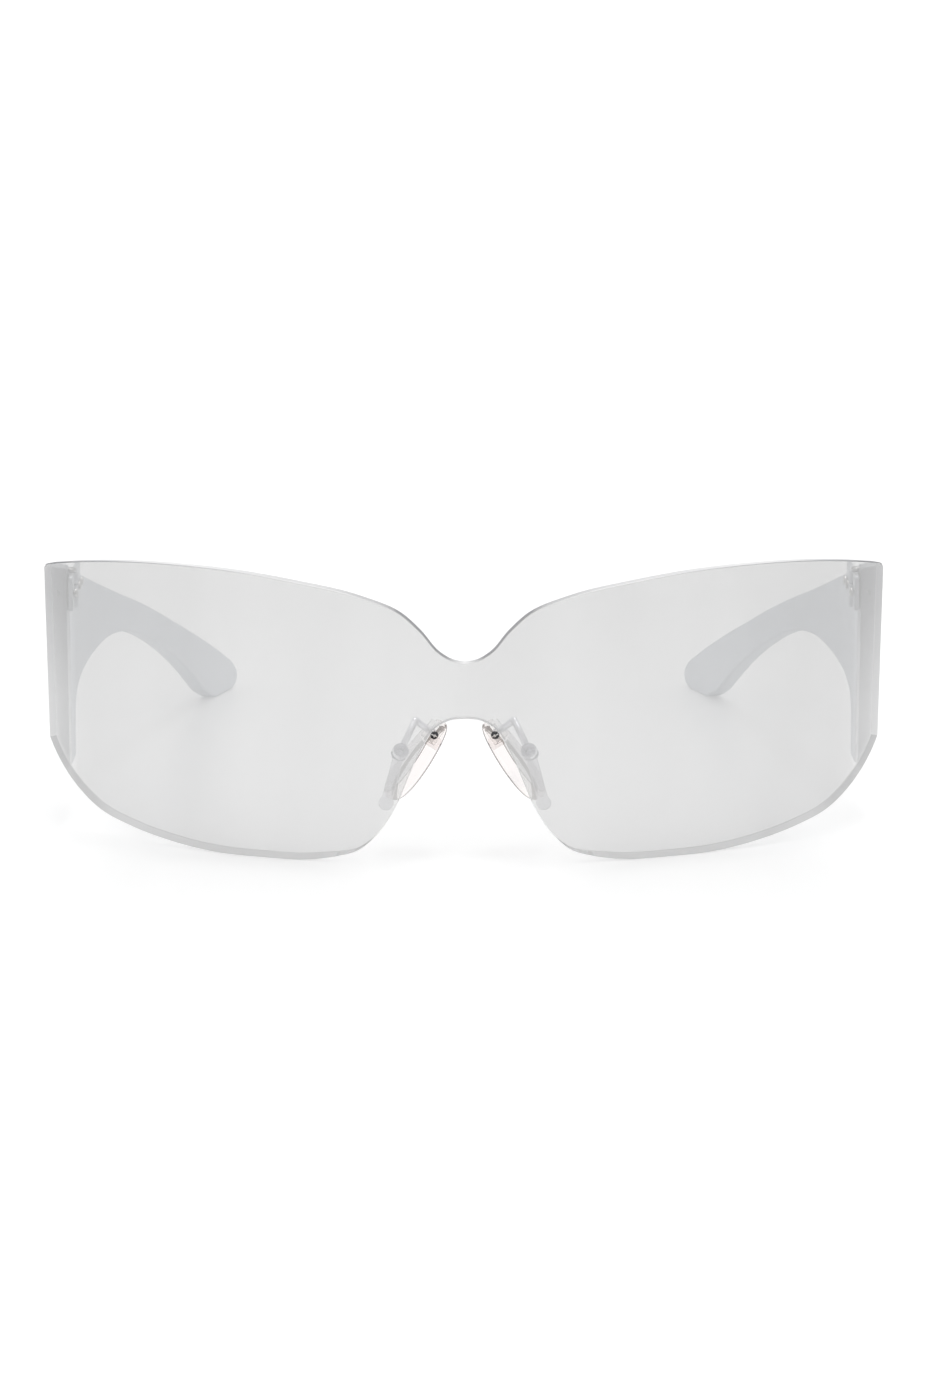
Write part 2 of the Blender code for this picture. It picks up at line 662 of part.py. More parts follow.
# The wire leaves the boss eye upwards, turns over behind the brow of the nose cut and drops to the pad
def arm_route():
    start = Nose.boss_seat + Nose.backwards * (BOSS_DEPTH + SEAT_GAP + EYE_DEPTH / 2)
    crest = Vector((start.x - LOOP_INSET, start.y + LOOP_BACK, start.z + LOOP_RISE))
    climb = crest - start
    climb = (climb - Nose.backwards * climb.dot(Nose.backwards)).normalized()
    leave = start + climb * (EYE_RADIUS - WIRE_RADIUS * WIRE_SINK_SHARE)
    arrive = Nose.rocker - Nose.face * (PAD_EYE_RADIUS - WIRE_RADIUS * WIRE_SINK_SHARE)
    return climb, leave, crest, arrive


def arm_wire():
    climb, leave, crest, arrive = arm_route()
    far = arrive - Nose.face * (LOOP_BACK + EYE_RADIUS)
    data = bpy.data.curves.new("arm_wire", "CURVE")
    data.dimensions = "3D"
    data.bevel_depth = WIRE_RADIUS
    data.bevel_resolution = WIRE_BEVEL_STEPS
    data.resolution_u = WIRE_STEPS
    data.use_fill_caps = True
    rise = climb * (crest - leave).length * MIDDLE_SHARE
    turn = (far - leave) * LOOP_TURN_SHARE
    handles = (
        (leave - rise, leave, leave + rise),
        (crest - turn, crest, crest + turn),
        (far, arrive, arrive + (arrive - far)),
    )
    spline = data.splines.new("BEZIER")
    spline.bezier_points.add(len(handles) - 1)
    for point, (before, spot, after) in zip(spline.bezier_points, handles):
        point.handle_left_type = "FREE"
        point.handle_right_type = "FREE"
        point.handle_left = before
        point.co = spot
        point.handle_right = after
    guide = bpy.data.objects.new("arm_wire", data)
    bpy.context.scene.collection.objects.link(guide)
    graph = bpy.context.evaluated_depsgraph_get()
    shape = bmesh.new()
    shape.from_mesh(guide.evaluated_get(graph).to_mesh())
    bpy.data.objects.remove(guide, do_unlink=True)
    bmesh.ops.remove_doubles(shape, verts=shape.verts[:], dist=MERGE_DISTANCE)
    bmesh.ops.recalc_face_normals(shape, faces=shape.faces[:])
    return shape


def pad_arm(name, material, side):
    eye_start = Nose.boss_seat + Nose.backwards * (BOSS_DEPTH + SEAT_GAP)
    eye = round_bar(eye_start, eye_start + Nose.backwards * EYE_DEPTH, EYE_RADIUS)
    half = Nose.across * PAD_EYE_DEPTH / 2
    pad_eye = round_bar(Nose.rocker - half, Nose.rocker + half, PAD_EYE_RADIUS)
    arm = make_object(name, arm_wire(), material, side)
    combine(arm, eye, "UNION", side)
    combine(arm, pad_eye, "UNION", side)
    run = Nose.backwards * (BOSS_DEPTH + OVERRUN)
    hole_radius = BRACKET_SCREW_RADIUS + BORE_GAP
    combine(arm, round_bar(eye_start - run, eye_start + run, hole_radius, SMALL_SIDES), "DIFFERENCE", side)
    reach = Nose.across * CORE_WIDTH
    hole = round_bar(Nose.rocker - reach, Nose.rocker + reach, PAD_SCREW_RADIUS + BORE_GAP, SMALL_SIDES)
    combine(arm, hole, "DIFFERENCE", side)
    return arm


def nose_bracket(name, material, side):
    bracket = make_object(name, bracket_mesh(), material, side)
    boss = round_bar(Nose.boss_seat, Nose.boss_seat + Nose.backwards * BOSS_DEPTH, BOSS_RADIUS)
    combine(bracket, boss, "UNION", side)
    seat = Nose.boss_seat + Nose.backwards * (BOSS_DEPTH + OVERRUN)
    bottom = Nose.boss_seat + Nose.backwards * (BOSS_DEPTH - BRACKET_SCREW_REACH - SEAT_GAP)
    hole = round_bar(bottom, seat, BRACKET_SCREW_RADIUS + BORE_GAP, SMALL_SIDES)
    combine(bracket, hole, "DIFFERENCE", side)
    return bracket


def bracket_screw(name, material, side):
    lift = BOSS_DEPTH + SEAT_GAP + EYE_DEPTH + SEAT_GAP
    shape = screw_mesh(
        Nose.boss_seat + Nose.backwards * lift, Nose.backwards, BRACKET_SCREW_RADIUS,
        EYE_DEPTH + SEAT_GAP + SEAT_GAP + BRACKET_SCREW_REACH,
        BRACKET_SCREW_HEAD_RADIUS, BRACKET_SCREW_HEAD_HEIGHT,
    )
    return make_object(name, shape, material, side)


# The pad's drop shape: an oval that is narrower at its upper end
def pad_outline():
    outline = []
    for index in range(PAD_SIDES):
        angle = math.tau * index / PAD_SIDES
        narrowing = 1 - math.sin(angle) * PAD_NARROWING_SHARE
        outline.append((PAD_WIDTH / 2 * math.cos(angle) * narrowing, PAD_LENGTH / 2 * math.sin(angle)))
    return outline


def pad_mesh():
    shape = prism(pad_outline(), -PAD_THICKNESS / 2, PAD_THICKNESS / 2)
    round_edges(shape, rim_edges(shape), PAD_ROUND, PAD_ROUND_STEPS)
    matrix = nose_matrix(Nose.centre, Nose.across, Nose.along, Nose.face)
    bmesh.ops.transform(shape, matrix=matrix, verts=shape.verts[:])
    bmesh.ops.recalc_face_normals(shape, faces=shape.faces[:])
    return shape


# A block in the pad's own directions: across it, along it and through it, about the core's centre
def pad_block(width, length, depth, shift=0):
    shape = bmesh.new()
    bmesh.ops.create_cube(shape, size=1.0)
    bmesh.ops.scale(shape, vec=(width, length, depth), verts=shape.verts[:])
    bmesh.ops.translate(shape, vec=(0, 0, shift), verts=shape.verts[:])
    matrix = nose_matrix(Nose.core_centre, Nose.across, Nose.along, Nose.face)
    bmesh.ops.transform(shape, matrix=matrix, verts=shape.verts[:])
    bmesh.ops.recalc_face_normals(shape, faces=shape.faces[:])
    return shape


def nose_pad(name, material, side, pivot):
    pad = make_object(name, pad_mesh(), material, side, pivot)
    width = CORE_WIDTH + 2 * (PAD_SCREW_HEAD_HEIGHT + 2 * SEAT_GAP)
    pocket = pad_block(width, CORE_LENGTH + 2 * SEAT_GAP, CORE_DEPTH + 2 * SEAT_GAP)
    combine(pad, pocket, "DIFFERENCE", side)
    return pad


def pad_core(name, material, side, pivot):
    core = make_object(name, pad_block(CORE_WIDTH, CORE_LENGTH, CORE_DEPTH), material, side, pivot)
    slot_floor = CORE_AXIS_DEPTH + PAD_EYE_RADIUS + SEAT_GAP
    slot_shift = slot_floor - CORE_DEPTH
    slot = pad_block(CORE_SLOT, CORE_LENGTH + OVERRUN, CORE_DEPTH, slot_shift)
    combine(core, slot, "DIFFERENCE", side)
    reach = Nose.across * CORE_WIDTH
    hole = round_bar(Nose.rocker - reach, Nose.rocker + reach, PAD_SCREW_RADIUS + BORE_GAP, SMALL_SIDES)
    combine(core, hole, "DIFFERENCE", side)
    return core


# The pad's screw crosses the core from front to back, with its head to the front
def pad_screw(name, material, side, pivot):
    head_way = -Nose.across if Nose.across.y > 0 else Nose.across
    seat = Nose.rocker + head_way * (CORE_WIDTH / 2 + SEAT_GAP)
    shape = screw_mesh(
        seat, head_way, PAD_SCREW_RADIUS, CORE_WIDTH + SEAT_GAP,
        PAD_SCREW_HEAD_RADIUS, PAD_SCREW_HEAD_HEIGHT,
    )
    return make_object(name, shape, material, side, pivot)


def make_nose_side(side, word, materials):
    nose_bracket(f"nose_bracket_{word}", materials["bracket"], side)
    bracket_screw(f"bracket_screw_{word}", materials["screw"], side)
    pad_arm(f"pad_arm_{word}", materials["steel"], side)
    pivot = make_pivot(f"pad_pivot_{word}", Nose.rocker, side)
    nose_pad(f"nose_pad_{word}", materials["pad"], side, pivot)
    pad_core(f"pad_core_{word}", materials["core"], side, pivot)
    pad_screw(f"pad_screw_{word}", materials["screw"], side, pivot)
    return pivot


# Moves everything so that the middle of the whole depth is at y = 0
def centre_in_depth():
    bpy.context.view_layer.update()
    solids = [item for item in bpy.data.objects if item.type == "MESH" and not item.hide_render]
    depths = [(item.matrix_world @ vert.co).y for item in solids for vert in item.data.vertices]
    shift = -(min(depths) + max(depths)) / 2
    for item in bpy.data.objects:
        if item.parent is None:
            item.location.y += shift
    bpy.context.view_layer.update()


def main():
    clear_scene()
    materials = make_materials()
    make_object("lens_shield", lens_mesh(), materials["lens"])
    for side, word in ((1, "left"), (-1, "right")):
        make_corner(side, word, materials)
        make_nose_side(side, word, materials)
    centre_in_depth()
    for item in bpy.data.objects:
        if item.type == "EMPTY":
            print("pivot", item.name, [round(value, 6) for value in item.matrix_world.translation])


main()
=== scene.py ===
import json
import math

import bmesh
import bpy
from mathutils import Matrix, Vector


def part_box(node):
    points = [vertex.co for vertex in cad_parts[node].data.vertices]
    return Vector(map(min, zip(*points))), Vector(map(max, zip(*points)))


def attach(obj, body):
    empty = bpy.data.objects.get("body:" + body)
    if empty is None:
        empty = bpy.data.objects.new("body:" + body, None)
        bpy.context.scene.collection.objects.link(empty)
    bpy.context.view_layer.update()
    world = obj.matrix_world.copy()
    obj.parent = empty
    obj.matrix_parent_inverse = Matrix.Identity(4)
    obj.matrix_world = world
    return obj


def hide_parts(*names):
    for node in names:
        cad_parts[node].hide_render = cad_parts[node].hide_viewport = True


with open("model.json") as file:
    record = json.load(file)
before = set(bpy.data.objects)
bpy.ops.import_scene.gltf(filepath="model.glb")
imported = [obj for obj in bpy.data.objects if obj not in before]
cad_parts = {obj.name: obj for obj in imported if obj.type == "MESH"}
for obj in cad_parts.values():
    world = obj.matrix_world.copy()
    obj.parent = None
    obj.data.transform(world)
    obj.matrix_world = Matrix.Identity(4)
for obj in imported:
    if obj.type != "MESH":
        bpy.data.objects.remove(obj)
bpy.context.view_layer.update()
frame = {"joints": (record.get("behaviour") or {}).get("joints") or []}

joints = {joint["name"]: joint for joint in frame["joints"]}
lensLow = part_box("lens_shield")[0]
bothSides = ((1, "left"), (-1, "right"))
up = Vector((0, 0, 1))
seatGap = 0.0003          # air between pieces that touch on the real thing
boreGap = 0.00022
tinyStep = 0.000004       # vertices closer than this are one
snapStep = 0.00006        # a strip's cut moves to a vertex this near
holeSides = 24
eyeSides = 40
barrelSides = 48


# Outlines: smooth runs of Bezier knots, each knot a list of left handle, spot and right handle
def smoothRun(points, firstSlope=None, lastSlope=None):
    spots = [Vector(point) for point in points]
    knots = []
    for index, spot in enumerate(spots):
        before = spot - spots[index - 1] if index > 0 else None
        after = spots[index + 1] - spot if index < len(spots) - 1 else None
        if before is None:
            slope = Vector(firstSlope) if firstSlope else after.normalized()
        elif after is None:
            slope = Vector(lastSlope) if lastSlope else before.normalized()
        else:
            slope = before.normalized() * after.length + after.normalized() * before.length
            slope /= before.length + after.length
        left = spot - slope * before.length / 3 if before else spot.copy()
        right = spot + slope * after.length / 3 if after else spot.copy()
        knots.append([left, spot, right])
    return knots


def corners(points):
    return [[Vector(point), Vector(point), Vector(point)] for point in points]


# Joins one knot to the next with a straight line
def straighten(knot, following):
    gap = (following[1] - knot[1]) / 3
    knot[2] = knot[1] + gap
    following[0] = following[1] - gap


def chained(runs):
    knots = []
    for run in runs:
        for index, knot in enumerate(run):
            if knots and index == 0:
                straighten(knots[-1], knot)
            knots.append(knot)
    return knots


def scaled(shares, width, height):
    return [(x * width, z * height) for x, z in shares]


# Lays a Bezier curve through the knots and returns it as a mesh
def curveMesh(curve, knots, closed):
    spline = curve.splines.new("BEZIER")
    spline.bezier_points.add(len(knots) - 1)
    for point, (left, spot, right) in zip(spline.bezier_points, knots):
        point.handle_left_type = "FREE"
        point.handle_right_type = "FREE"
        point.handle_left = left.to_3d()
        point.co = spot.to_3d()
        point.handle_right = right.to_3d()
    spline.use_cyclic_u = closed
    holder = bpy.data.objects.new(curve.name, curve)
    bpy.context.scene.collection.objects.link(holder)
    shape = meshOf(holder)
    bpy.data.objects.remove(holder, do_unlink=True)
    bmesh.ops.remove_doubles(shape, verts=shape.verts[:], dist=tinyStep)
    return shape


# A flat face in the XZ plane, filled by a 2D curve
def flatSheet(knots, steps):
    curve = bpy.data.curves.new("outline", "CURVE")
    curve.dimensions = "2D"
    curve.fill_mode = "BOTH"
    curve.resolution_u = steps
    sheet = curveMesh(curve, knots, True)
    bmesh.ops.dissolve_faces(sheet, faces=sheet.faces[:])
    turn = Matrix.Rotation(math.radians(90), 3, "X")
    bmesh.ops.rotate(sheet, verts=sheet.verts[:], cent=(0, 0, 0), matrix=turn)
    return sheet


def meshOf(item):
    graph = bpy.context.evaluated_depsgraph_get()
    shape = bmesh.new()
    shape.from_mesh(item.evaluated_get(graph).to_mesh())
    return shape


# Makes a flat plate of a flat sheet, which lies at y = 0
def thickened(sheet, thickness):
    result = bmesh.ops.extrude_face_region(sheet, geom=sheet.faces[:], use_keep_orig=True)
    back = [item for item in result["geom"] if isinstance(item, bmesh.types.BMVert)]
    bmesh.ops.translate(sheet, verts=back, vec=(0, thickness, 0))
    bmesh.ops.recalc_face_normals(sheet, faces=sheet.faces[:])


# Cuts a flat plate into upright strips and bends it; place(x, z, depth) says where a point goes
def bent(plate, count, thickness, place):
    places = [vert.co.x for vert in plate.verts]
    start, end = min(places), max(places)
    for index in range(1, count):
        spot = (start + (end - start) * index / count, 0, 0)
        everything = plate.verts[:] + plate.edges[:] + plate.faces[:]
        bmesh.ops.bisect_plane(plate, geom=everything, dist=snapStep, plane_co=spot, plane_no=(1, 0, 0))
    for vert in plate.verts:
        vert.co = place(vert.co.x, vert.co.z, vert.co.y / thickness)
    bmesh.ops.recalc_face_normals(plate, faces=plate.faces[:])


def sharpEdges(shape, angle=55):
    return [edge for edge in shape.edges if edge.calc_face_angle(0) > math.radians(angle)]


def rounded(shape, width, segments=3, edges=None, clamp=True):
    bmesh.ops.bevel(
        shape, geom=sharpEdges(shape) if edges is None else edges, offset=width, segments=segments,
        profile=0.5, affect="EDGES", material=-1, clamp_overlap=clamp,
    )
    return shape


def prism(outline, bottom, top):
    shape = bmesh.new()
    face = shape.faces.new([shape.verts.new((x, y, bottom)) for x, y in outline])
    result = bmesh.ops.extrude_face_region(shape, geom=[face])
    lifted = [item for item in result["geom"] if isinstance(item, bmesh.types.BMVert)]
    bmesh.ops.translate(shape, verts=lifted, vec=(0, 0, top - bottom))
    bmesh.ops.recalc_face_normals(shape, faces=shape.faces[:])
    return shape


def placed(shape, matrix):
    bmesh.ops.transform(shape, matrix=matrix, verts=shape.verts[:])
    return shape


# Columns are where the shape's own X, Y and Z directions point
def axesMatrix(origin, xAxis, yAxis, zAxis):
    turn = Matrix((xAxis, yAxis, zAxis)).transposed().to_4x4()
    return Matrix.Translation(origin) @ turn


def towards(origin, direction):
    turn = Vector(direction).to_track_quat("Z", "Y").to_matrix().to_4x4()
    return Matrix.Translation(origin) @ turn


def roundBar(start, end, radius, sides=eyeSides, edge=0.0):
    start, end = Vector(start), Vector(end)
    shape = bmesh.new()
    bmesh.ops.create_cone(
        shape, cap_ends=True, segments=sides, radius1=radius, radius2=radius, depth=(end - start).length,
    )
    if edge > 0:
        rounded(shape, edge)
    return placed(shape, towards((start + end) / 2, end - start))


def block(width, depth, height, matrix, edge=0.0):
    shape = bmesh.new()
    bmesh.ops.create_cube(shape, size=1)
    bmesh.ops.scale(shape, vec=(width, depth, height), verts=shape.verts[:])
    if edge > 0:
        rounded(shape, edge)
    return placed(shape, matrix)


# Turns a profile of (radius, height) points about Z
def turned(profile, steps=barrelSides):
    shape = bmesh.new()
    verts = [shape.verts.new((radius, 0, height)) for radius, height in profile]
    edges = [shape.edges.new(pair) for pair in zip(verts, verts[1:])]
    bmesh.ops.spin(
        shape, geom=edges + verts, cent=(0, 0, 0), axis=(0, 0, 1), angle=math.tau, steps=steps,
        use_merge=True,
    )
    bmesh.ops.remove_doubles(shape, verts=shape.verts[:], dist=tinyStep)
    bmesh.ops.recalc_face_normals(shape, faces=shape.faces[:])
    return shape


def meshObject(shape, name):
    mesh = bpy.data.meshes.new(name)
    shape.to_mesh(mesh)
    shape.free()
    item = bpy.data.objects.new(name, mesh)
    bpy.context.scene.collection.objects.link(item)
    return item


# Adds or takes away shapes with Boolean modifiers and returns the result as a bmesh
def carved(shape, steps):
    item = meshObject(shape, "carved")
    tools = []
    for operation, tool in steps:
        cutter = meshObject(tool, "cutter")
        modifier = item.modifiers.new(operation, "BOOLEAN")
        modifier.operation = operation
        modifier.solver = "EXACT"
        modifier.object = cutter
        tools.append(cutter)
    bpy.context.view_layer.update()
    result = meshOf(item)
    for tool in [item] + tools:
        bpy.data.objects.remove(tool, do_unlink=True)
    bmesh.ops.remove_doubles(result, verts=result.verts[:], dist=tinyStep)
    return result


# Makes a finished piece: drawn for the wearer's left, mirrored for the right
def makePiece(name, shape, materials, body, node, side=1, sharpAngle=35):
    if side < 0:
        bmesh.ops.scale(shape, vec=(-1, 1, 1), verts=shape.verts[:])
        bmesh.ops.reverse_faces(shape, faces=shape.faces[:])
    item = meshObject(shape, name)
    item.data.shade_smooth()
    item.data.set_sharp_from_angle(angle=math.radians(sharpAngle))
    for material in materials:
        item.data.materials.append(material)
    weighted = item.modifiers.new("weightedNormals", "WEIGHTED_NORMAL")
    weighted.keep_sharp = True
    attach(item, body)
    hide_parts(node)
    return item


# Materials
def nodeGroup(name, inputs, outputs):
    group = bpy.data.node_groups.new(name, "ShaderNodeTree")
    for way, labels in (("INPUT", inputs), ("OUTPUT", outputs)):
        for label in labels:
            group.interface.new_socket(label, in_out=way, socket_type="NodeSocketFloat")
    entry = group.nodes.new("NodeGroupInput")
    leave = group.nodes.new("NodeGroupOutput")
    return group, entry, leave


surface = {
    "inputs": ("Grain Scale", "Grain", "Hairlines", "Stretch"), "grainDetail": 3, "hairAcross": 400,
    "hairUp": 2600, "hairDetail": 2, "cloudScale": 90, "cloudDetail": 4, "bumpDepth": 0.00002,
}


# Fine grain and faint hairline scratches as one height, and cloudy wear
def surfaceGroup():
    group, entry, leave = nodeGroup("mouldedSurface", surface["inputs"], ("Height", "Wear"))
    nodes, links = group.nodes, group.links
    coordinates = nodes.new("ShaderNodeTexCoord")
    grain = nodes.new("ShaderNodeTexNoise")
    grain.inputs["Detail"].default_value = surface["grainDetail"]
    links.new(coordinates.outputs["Object"], grain.inputs["Vector"])
    links.new(entry.outputs["Grain Scale"], grain.inputs["Scale"])
    stretch = nodes.new("ShaderNodeCombineXYZ")
    stretch.inputs["X"].default_value = surface["hairAcross"]
    stretch.inputs["Z"].default_value = surface["hairUp"]
    links.new(entry.outputs["Stretch"], stretch.inputs["Y"])
    mapping = nodes.new("ShaderNodeMapping")
    links.new(coordinates.outputs["Object"], mapping.inputs["Vector"])
    links.new(stretch.outputs["Vector"], mapping.inputs["Scale"])
    hairs = nodes.new("ShaderNodeTexNoise")
    hairs.inputs["Scale"].default_value = 1
    hairs.inputs["Detail"].default_value = surface["hairDetail"]
    links.new(mapping.outputs["Vector"], hairs.inputs["Vector"])
    grainPart = mathNode(group, "MULTIPLY", grain.outputs["Fac"], entry.outputs["Grain"])
    hairPart = mathNode(group, "MULTIPLY", hairs.outputs["Fac"], entry.outputs["Hairlines"])
    links.new(mathNode(group, "ADD", grainPart, hairPart), leave.inputs["Height"])
    cloud = nodes.new("ShaderNodeTexNoise")
    cloud.inputs["Scale"].default_value = surface["cloudScale"]
    cloud.inputs["Detail"].default_value = surface["cloudDetail"]
    links.new(coordinates.outputs["Object"], cloud.inputs["Vector"])
    links.new(cloud.outputs["Fac"], leave.inputs["Wear"])
    return group


# Links an output to a socket, or sets a plain value on it
def feed(tree, socket, value):
    if isinstance(value, bpy.types.NodeSocket):
        tree.links.new(value, socket)
    elif value is not None:
        socket.default_value = value


def mathNode(tree, operation, first, second=None):
    node = tree.nodes.new("ShaderNodeMath")
    node.operation = operation
    feed(tree, node.inputs[0], first)
    feed(tree, node.inputs[1], second)
    return node.outputs[0]


def rangeNode(tree, value, fromRange, toRange=(0, 1)):
    node = tree.nodes.new("ShaderNodeMapRange")
    for label, number in zip(("From Min", "From Max", "To Min", "To Max"), (*fromRange, *toRange)):
        node.inputs[label].default_value = number
    tree.links.new(value, node.inputs["Value"])
    return node.outputs["Result"]


def mixNode(tree, factor, first, second, blend="MIX"):
    node = tree.nodes.new("ShaderNodeMix")
    node.data_type = "RGBA"
    node.blend_type = blend
    feed(tree, node.inputs["Factor"], factor)
    feed(tree, node.inputs["A"], first)
    feed(tree, node.inputs["B"], second)
    return node.outputs["Result"]


def newMaterial(name, colour, roughness, metallic=0.0, transmission=0.0, ior=1.5):
    material = bpy.data.materials.new(name)
    material.use_nodes = True
    shader = material.node_tree.nodes["Principled BSDF"]
    shader.inputs["Base Color"].default_value = (*colour, 1)
    shader.inputs["Roughness"].default_value = roughness
    shader.inputs["Metallic"].default_value = metallic
    shader.inputs["Transmission Weight"].default_value = transmission
    shader.inputs["IOR"].default_value = ior
    return material, shader


# Mixes two colours by a value that changes over the surface
def colourMix(tree, value, valueRange, colourA, colourB):
    return mixNode(tree, rangeNode(tree, value, valueRange), (*colourA, 1), (*colourB, 1))


# Lays the moulded surface on a material: bump, cloudy roughness and a slight change of colour
def layDetail(material, shader, detail):
    tree = material.node_tree
    group = tree.nodes.new("ShaderNodeGroup")
    group.node_tree = mouldedSurface
    for label in surface["inputs"]:
        group.inputs[label].default_value = detail[label]
    bump = tree.nodes.new("ShaderNodeBump")
    bump.inputs["Strength"].default_value = detail["bump"]
    bump.inputs["Distance"].default_value = surface["bumpDepth"]
    tree.links.new(group.outputs["Height"], bump.inputs["Height"])
    tree.links.new(bump.outputs["Normal"], shader.inputs["Normal"])
    rough = rangeNode(tree, group.outputs["Wear"], wearRange, detail["roughness"])
    tree.links.new(rough, shader.inputs["Roughness"])
    tint = colourMix(tree, group.outputs["Wear"], wearRange, *detail["colours"])
    tree.links.new(tint, shader.inputs["Base Color"])


wearRange = (0.15, 0.85)
satinDetail = {
    "Grain Scale": 5000.0, "Grain": 0.6, "Hairlines": 0.25, "Stretch": 60.0, "bump": 0.12, "metallic": 0.55,
    "roughness": (0.29, 0.41), "colours": ((0.60, 0.63, 0.67), (0.69, 0.72, 0.76)),
}
endDetail = {
    "Grain Scale": 3000.0, "Grain": 0.4, "Hairlines": 0.2, "Stretch": 60.0, "bump": 0.08, "metallic": 0.0,
    "roughness": (0.29, 0.38), "colours": ((0.86, 0.87, 0.89), (0.90, 0.91, 0.92)), "specular": 0.15,
}
endShade = {"colour": (0.22, 0.23, 0.26), "heights": (0.022, 0.042)}     # painted shade near the top
steelDetail = {
    "Grain Scale": 6000.0, "Grain": 0.3, "Hairlines": 0.5, "Stretch": 150.0, "bump": 0.08, "metallic": 0.8,
    "roughness": (0.34, 0.44), "colours": ((0.55, 0.57, 0.60), (0.61, 0.63, 0.66)),
}
wireDetail = steelDetail | {
    "Hairlines": 0.6, "bump": 0.15, "metallic": 1.0, "roughness": (0.29, 0.38),
    "colours": ((0.86, 0.86, 0.90), (0.92, 0.92, 0.96)),
}
screwDetail = {
    "Grain Scale": 7000.0, "Grain": 0.5, "Hairlines": 0.3, "Stretch": 400.0, "bump": 0.1, "metallic": 1.0,
    "roughness": (0.12, 0.24), "colours": ((0.50, 0.49, 0.48), (0.62, 0.61, 0.60)),
}
ringDetail = screwDetail | {
    "metallic": 0.5, "roughness": (0.18, 0.26), "colours": ((0.04, 0.04, 0.045), (0.06, 0.06, 0.065)),
}
bracketDetail = {
    "Grain Scale": 4000.0, "Grain": 0.4, "Hairlines": 0.2, "Stretch": 200.0, "bump": 0.08, "metallic": 0.0,
    "roughness": (0.16, 0.24), "colours": ((0.88, 0.88, 0.90), (0.92, 0.92, 0.94)), "transmission": 0.85,
}


def opaqueMaterial(name, detail):
    material, shader = newMaterial(name, detail["colours"][0], detail["roughness"][0], detail["metallic"])
    layDetail(material, shader, detail)
    return material


# How far up the part a point is: 0 at the lowest height given, 1 at the highest
def heightShare(tree, heights):
    coordinates = tree.nodes.new("ShaderNodeTexCoord")
    split = tree.nodes.new("ShaderNodeSeparateXYZ")
    tree.links.new(coordinates.outputs["Object"], split.inputs["Vector"])
    return rangeNode(tree, split.outputs["Z"], heights)


def endGreyPaintedShade():
    material = opaqueMaterial("endGreyPaintedShade", endDetail)
    tree = material.node_tree
    shader = tree.nodes["Principled BSDF"]
    shader.inputs["Specular IOR Level"].default_value = endDetail["specular"]
    plain = shader.inputs["Base Color"].links[0].from_socket
    # Painted shade: the colour darkens towards the top of the end piece
    shaded = mixNode(tree, heightShare(tree, endShade["heights"]), plain, (*endShade["colour"], 1))
    tree.links.new(shaded, shader.inputs["Base Color"])
    return material


# Bracket plastic lets some light through
def translucentGrey():
    material = opaqueMaterial("bracketGrey", bracketDetail)
    shader = material.node_tree.nodes["Principled BSDF"]
    shader.inputs["Transmission Weight"].default_value = bracketDetail["transmission"]
    shader.inputs["IOR"].default_value = silicone["ior"]
    return material


# The outer face has a light silver mirror coating, with painted reflection: darker towards the top and in
# upright bands.
# Painted reflection darkens it a little towards the sides, and painted light makes it palest where the lens
# turns back over its end pieces
coating = {
    "pale": (0.902, 0.902, 0.902), "paintedReflectionDeep": (0.732, 0.732, 0.732), "metallic": 0.6, "ior": 1.1,
    "bandScale": (45, 20, 9), "bandDetail": 2, "bandStrength": 1.9, "range": (0.45, 2.45),
    "heights": (0.005, 0.045), "reach": 0.0728, "inner": (0.99, 0.99, 0.99),
    "paintedReflectionAndLightMarks": ((0.5, 0.80), (0.88, 0.736), (0.922, 0.76), (0.945, 0.87), (1.0, 0.95)),
}


# Painted reflection and painted light on the coating, from the middle of the lens to its ends: a little
# darker towards the sides, palest over the end pieces
def paintedReflectionAndLightRamp(tree, coordinates):
    split = tree.nodes.new("ShaderNodeSeparateXYZ")
    tree.links.new(coordinates, split.inputs["Vector"])
    side = mathNode(tree, "ABSOLUTE", split.outputs["X"])
    ramp = tree.nodes.new("ShaderNodeValToRGB")
    marks = ramp.color_ramp.elements
    while len(marks) < len(coating["paintedReflectionAndLightMarks"]):
        marks.new(0.5)
    for mark, (place, weight) in zip(marks, coating["paintedReflectionAndLightMarks"]):
        mark.position = place
        mark.color = (weight, weight, weight, 1)
    tree.links.new(mathNode(tree, "DIVIDE", side, coating["reach"]), ramp.inputs["Fac"])
    return ramp.outputs["Color"]


def mirrorCoatingPaintedReflection():
    material, shader = newMaterial(
        "mirrorCoatingPaintedReflection", coating["pale"], 0.0, coating["metallic"], 1.0, coating["ior"],
    )
    tree = material.node_tree
    coordinates = tree.nodes.new("ShaderNodeTexCoord")
    mapping = tree.nodes.new("ShaderNodeMapping")
    mapping.inputs["Scale"].default_value = coating["bandScale"]
    bands = tree.nodes.new("ShaderNodeTexNoise")
    bands.inputs["Scale"].default_value = 1
    bands.inputs["Detail"].default_value = coating["bandDetail"]
    tree.links.new(coordinates.outputs["Object"], mapping.inputs["Vector"])
    tree.links.new(mapping.outputs["Vector"], bands.inputs["Vector"])
    # Upright bands of painted reflection
    band = mathNode(tree, "MULTIPLY", bands.outputs["Fac"], coating["bandStrength"])
    depth = mathNode(tree, "ADD", band, heightShare(tree, coating["heights"]))
    # Painted reflection: the colour turns deep towards the top and in the bands
    tint = colourMix(tree, depth, coating["range"], coating["pale"], coating["paintedReflectionDeep"])
    # Painted reflection towards the sides and painted light over the end pieces
    weight = paintedReflectionAndLightRamp(tree, coordinates.outputs["Object"])
    tree.links.new(mixNode(tree, 1, tint, weight, "MULTIPLY"), shader.inputs["Base Color"])
    return material


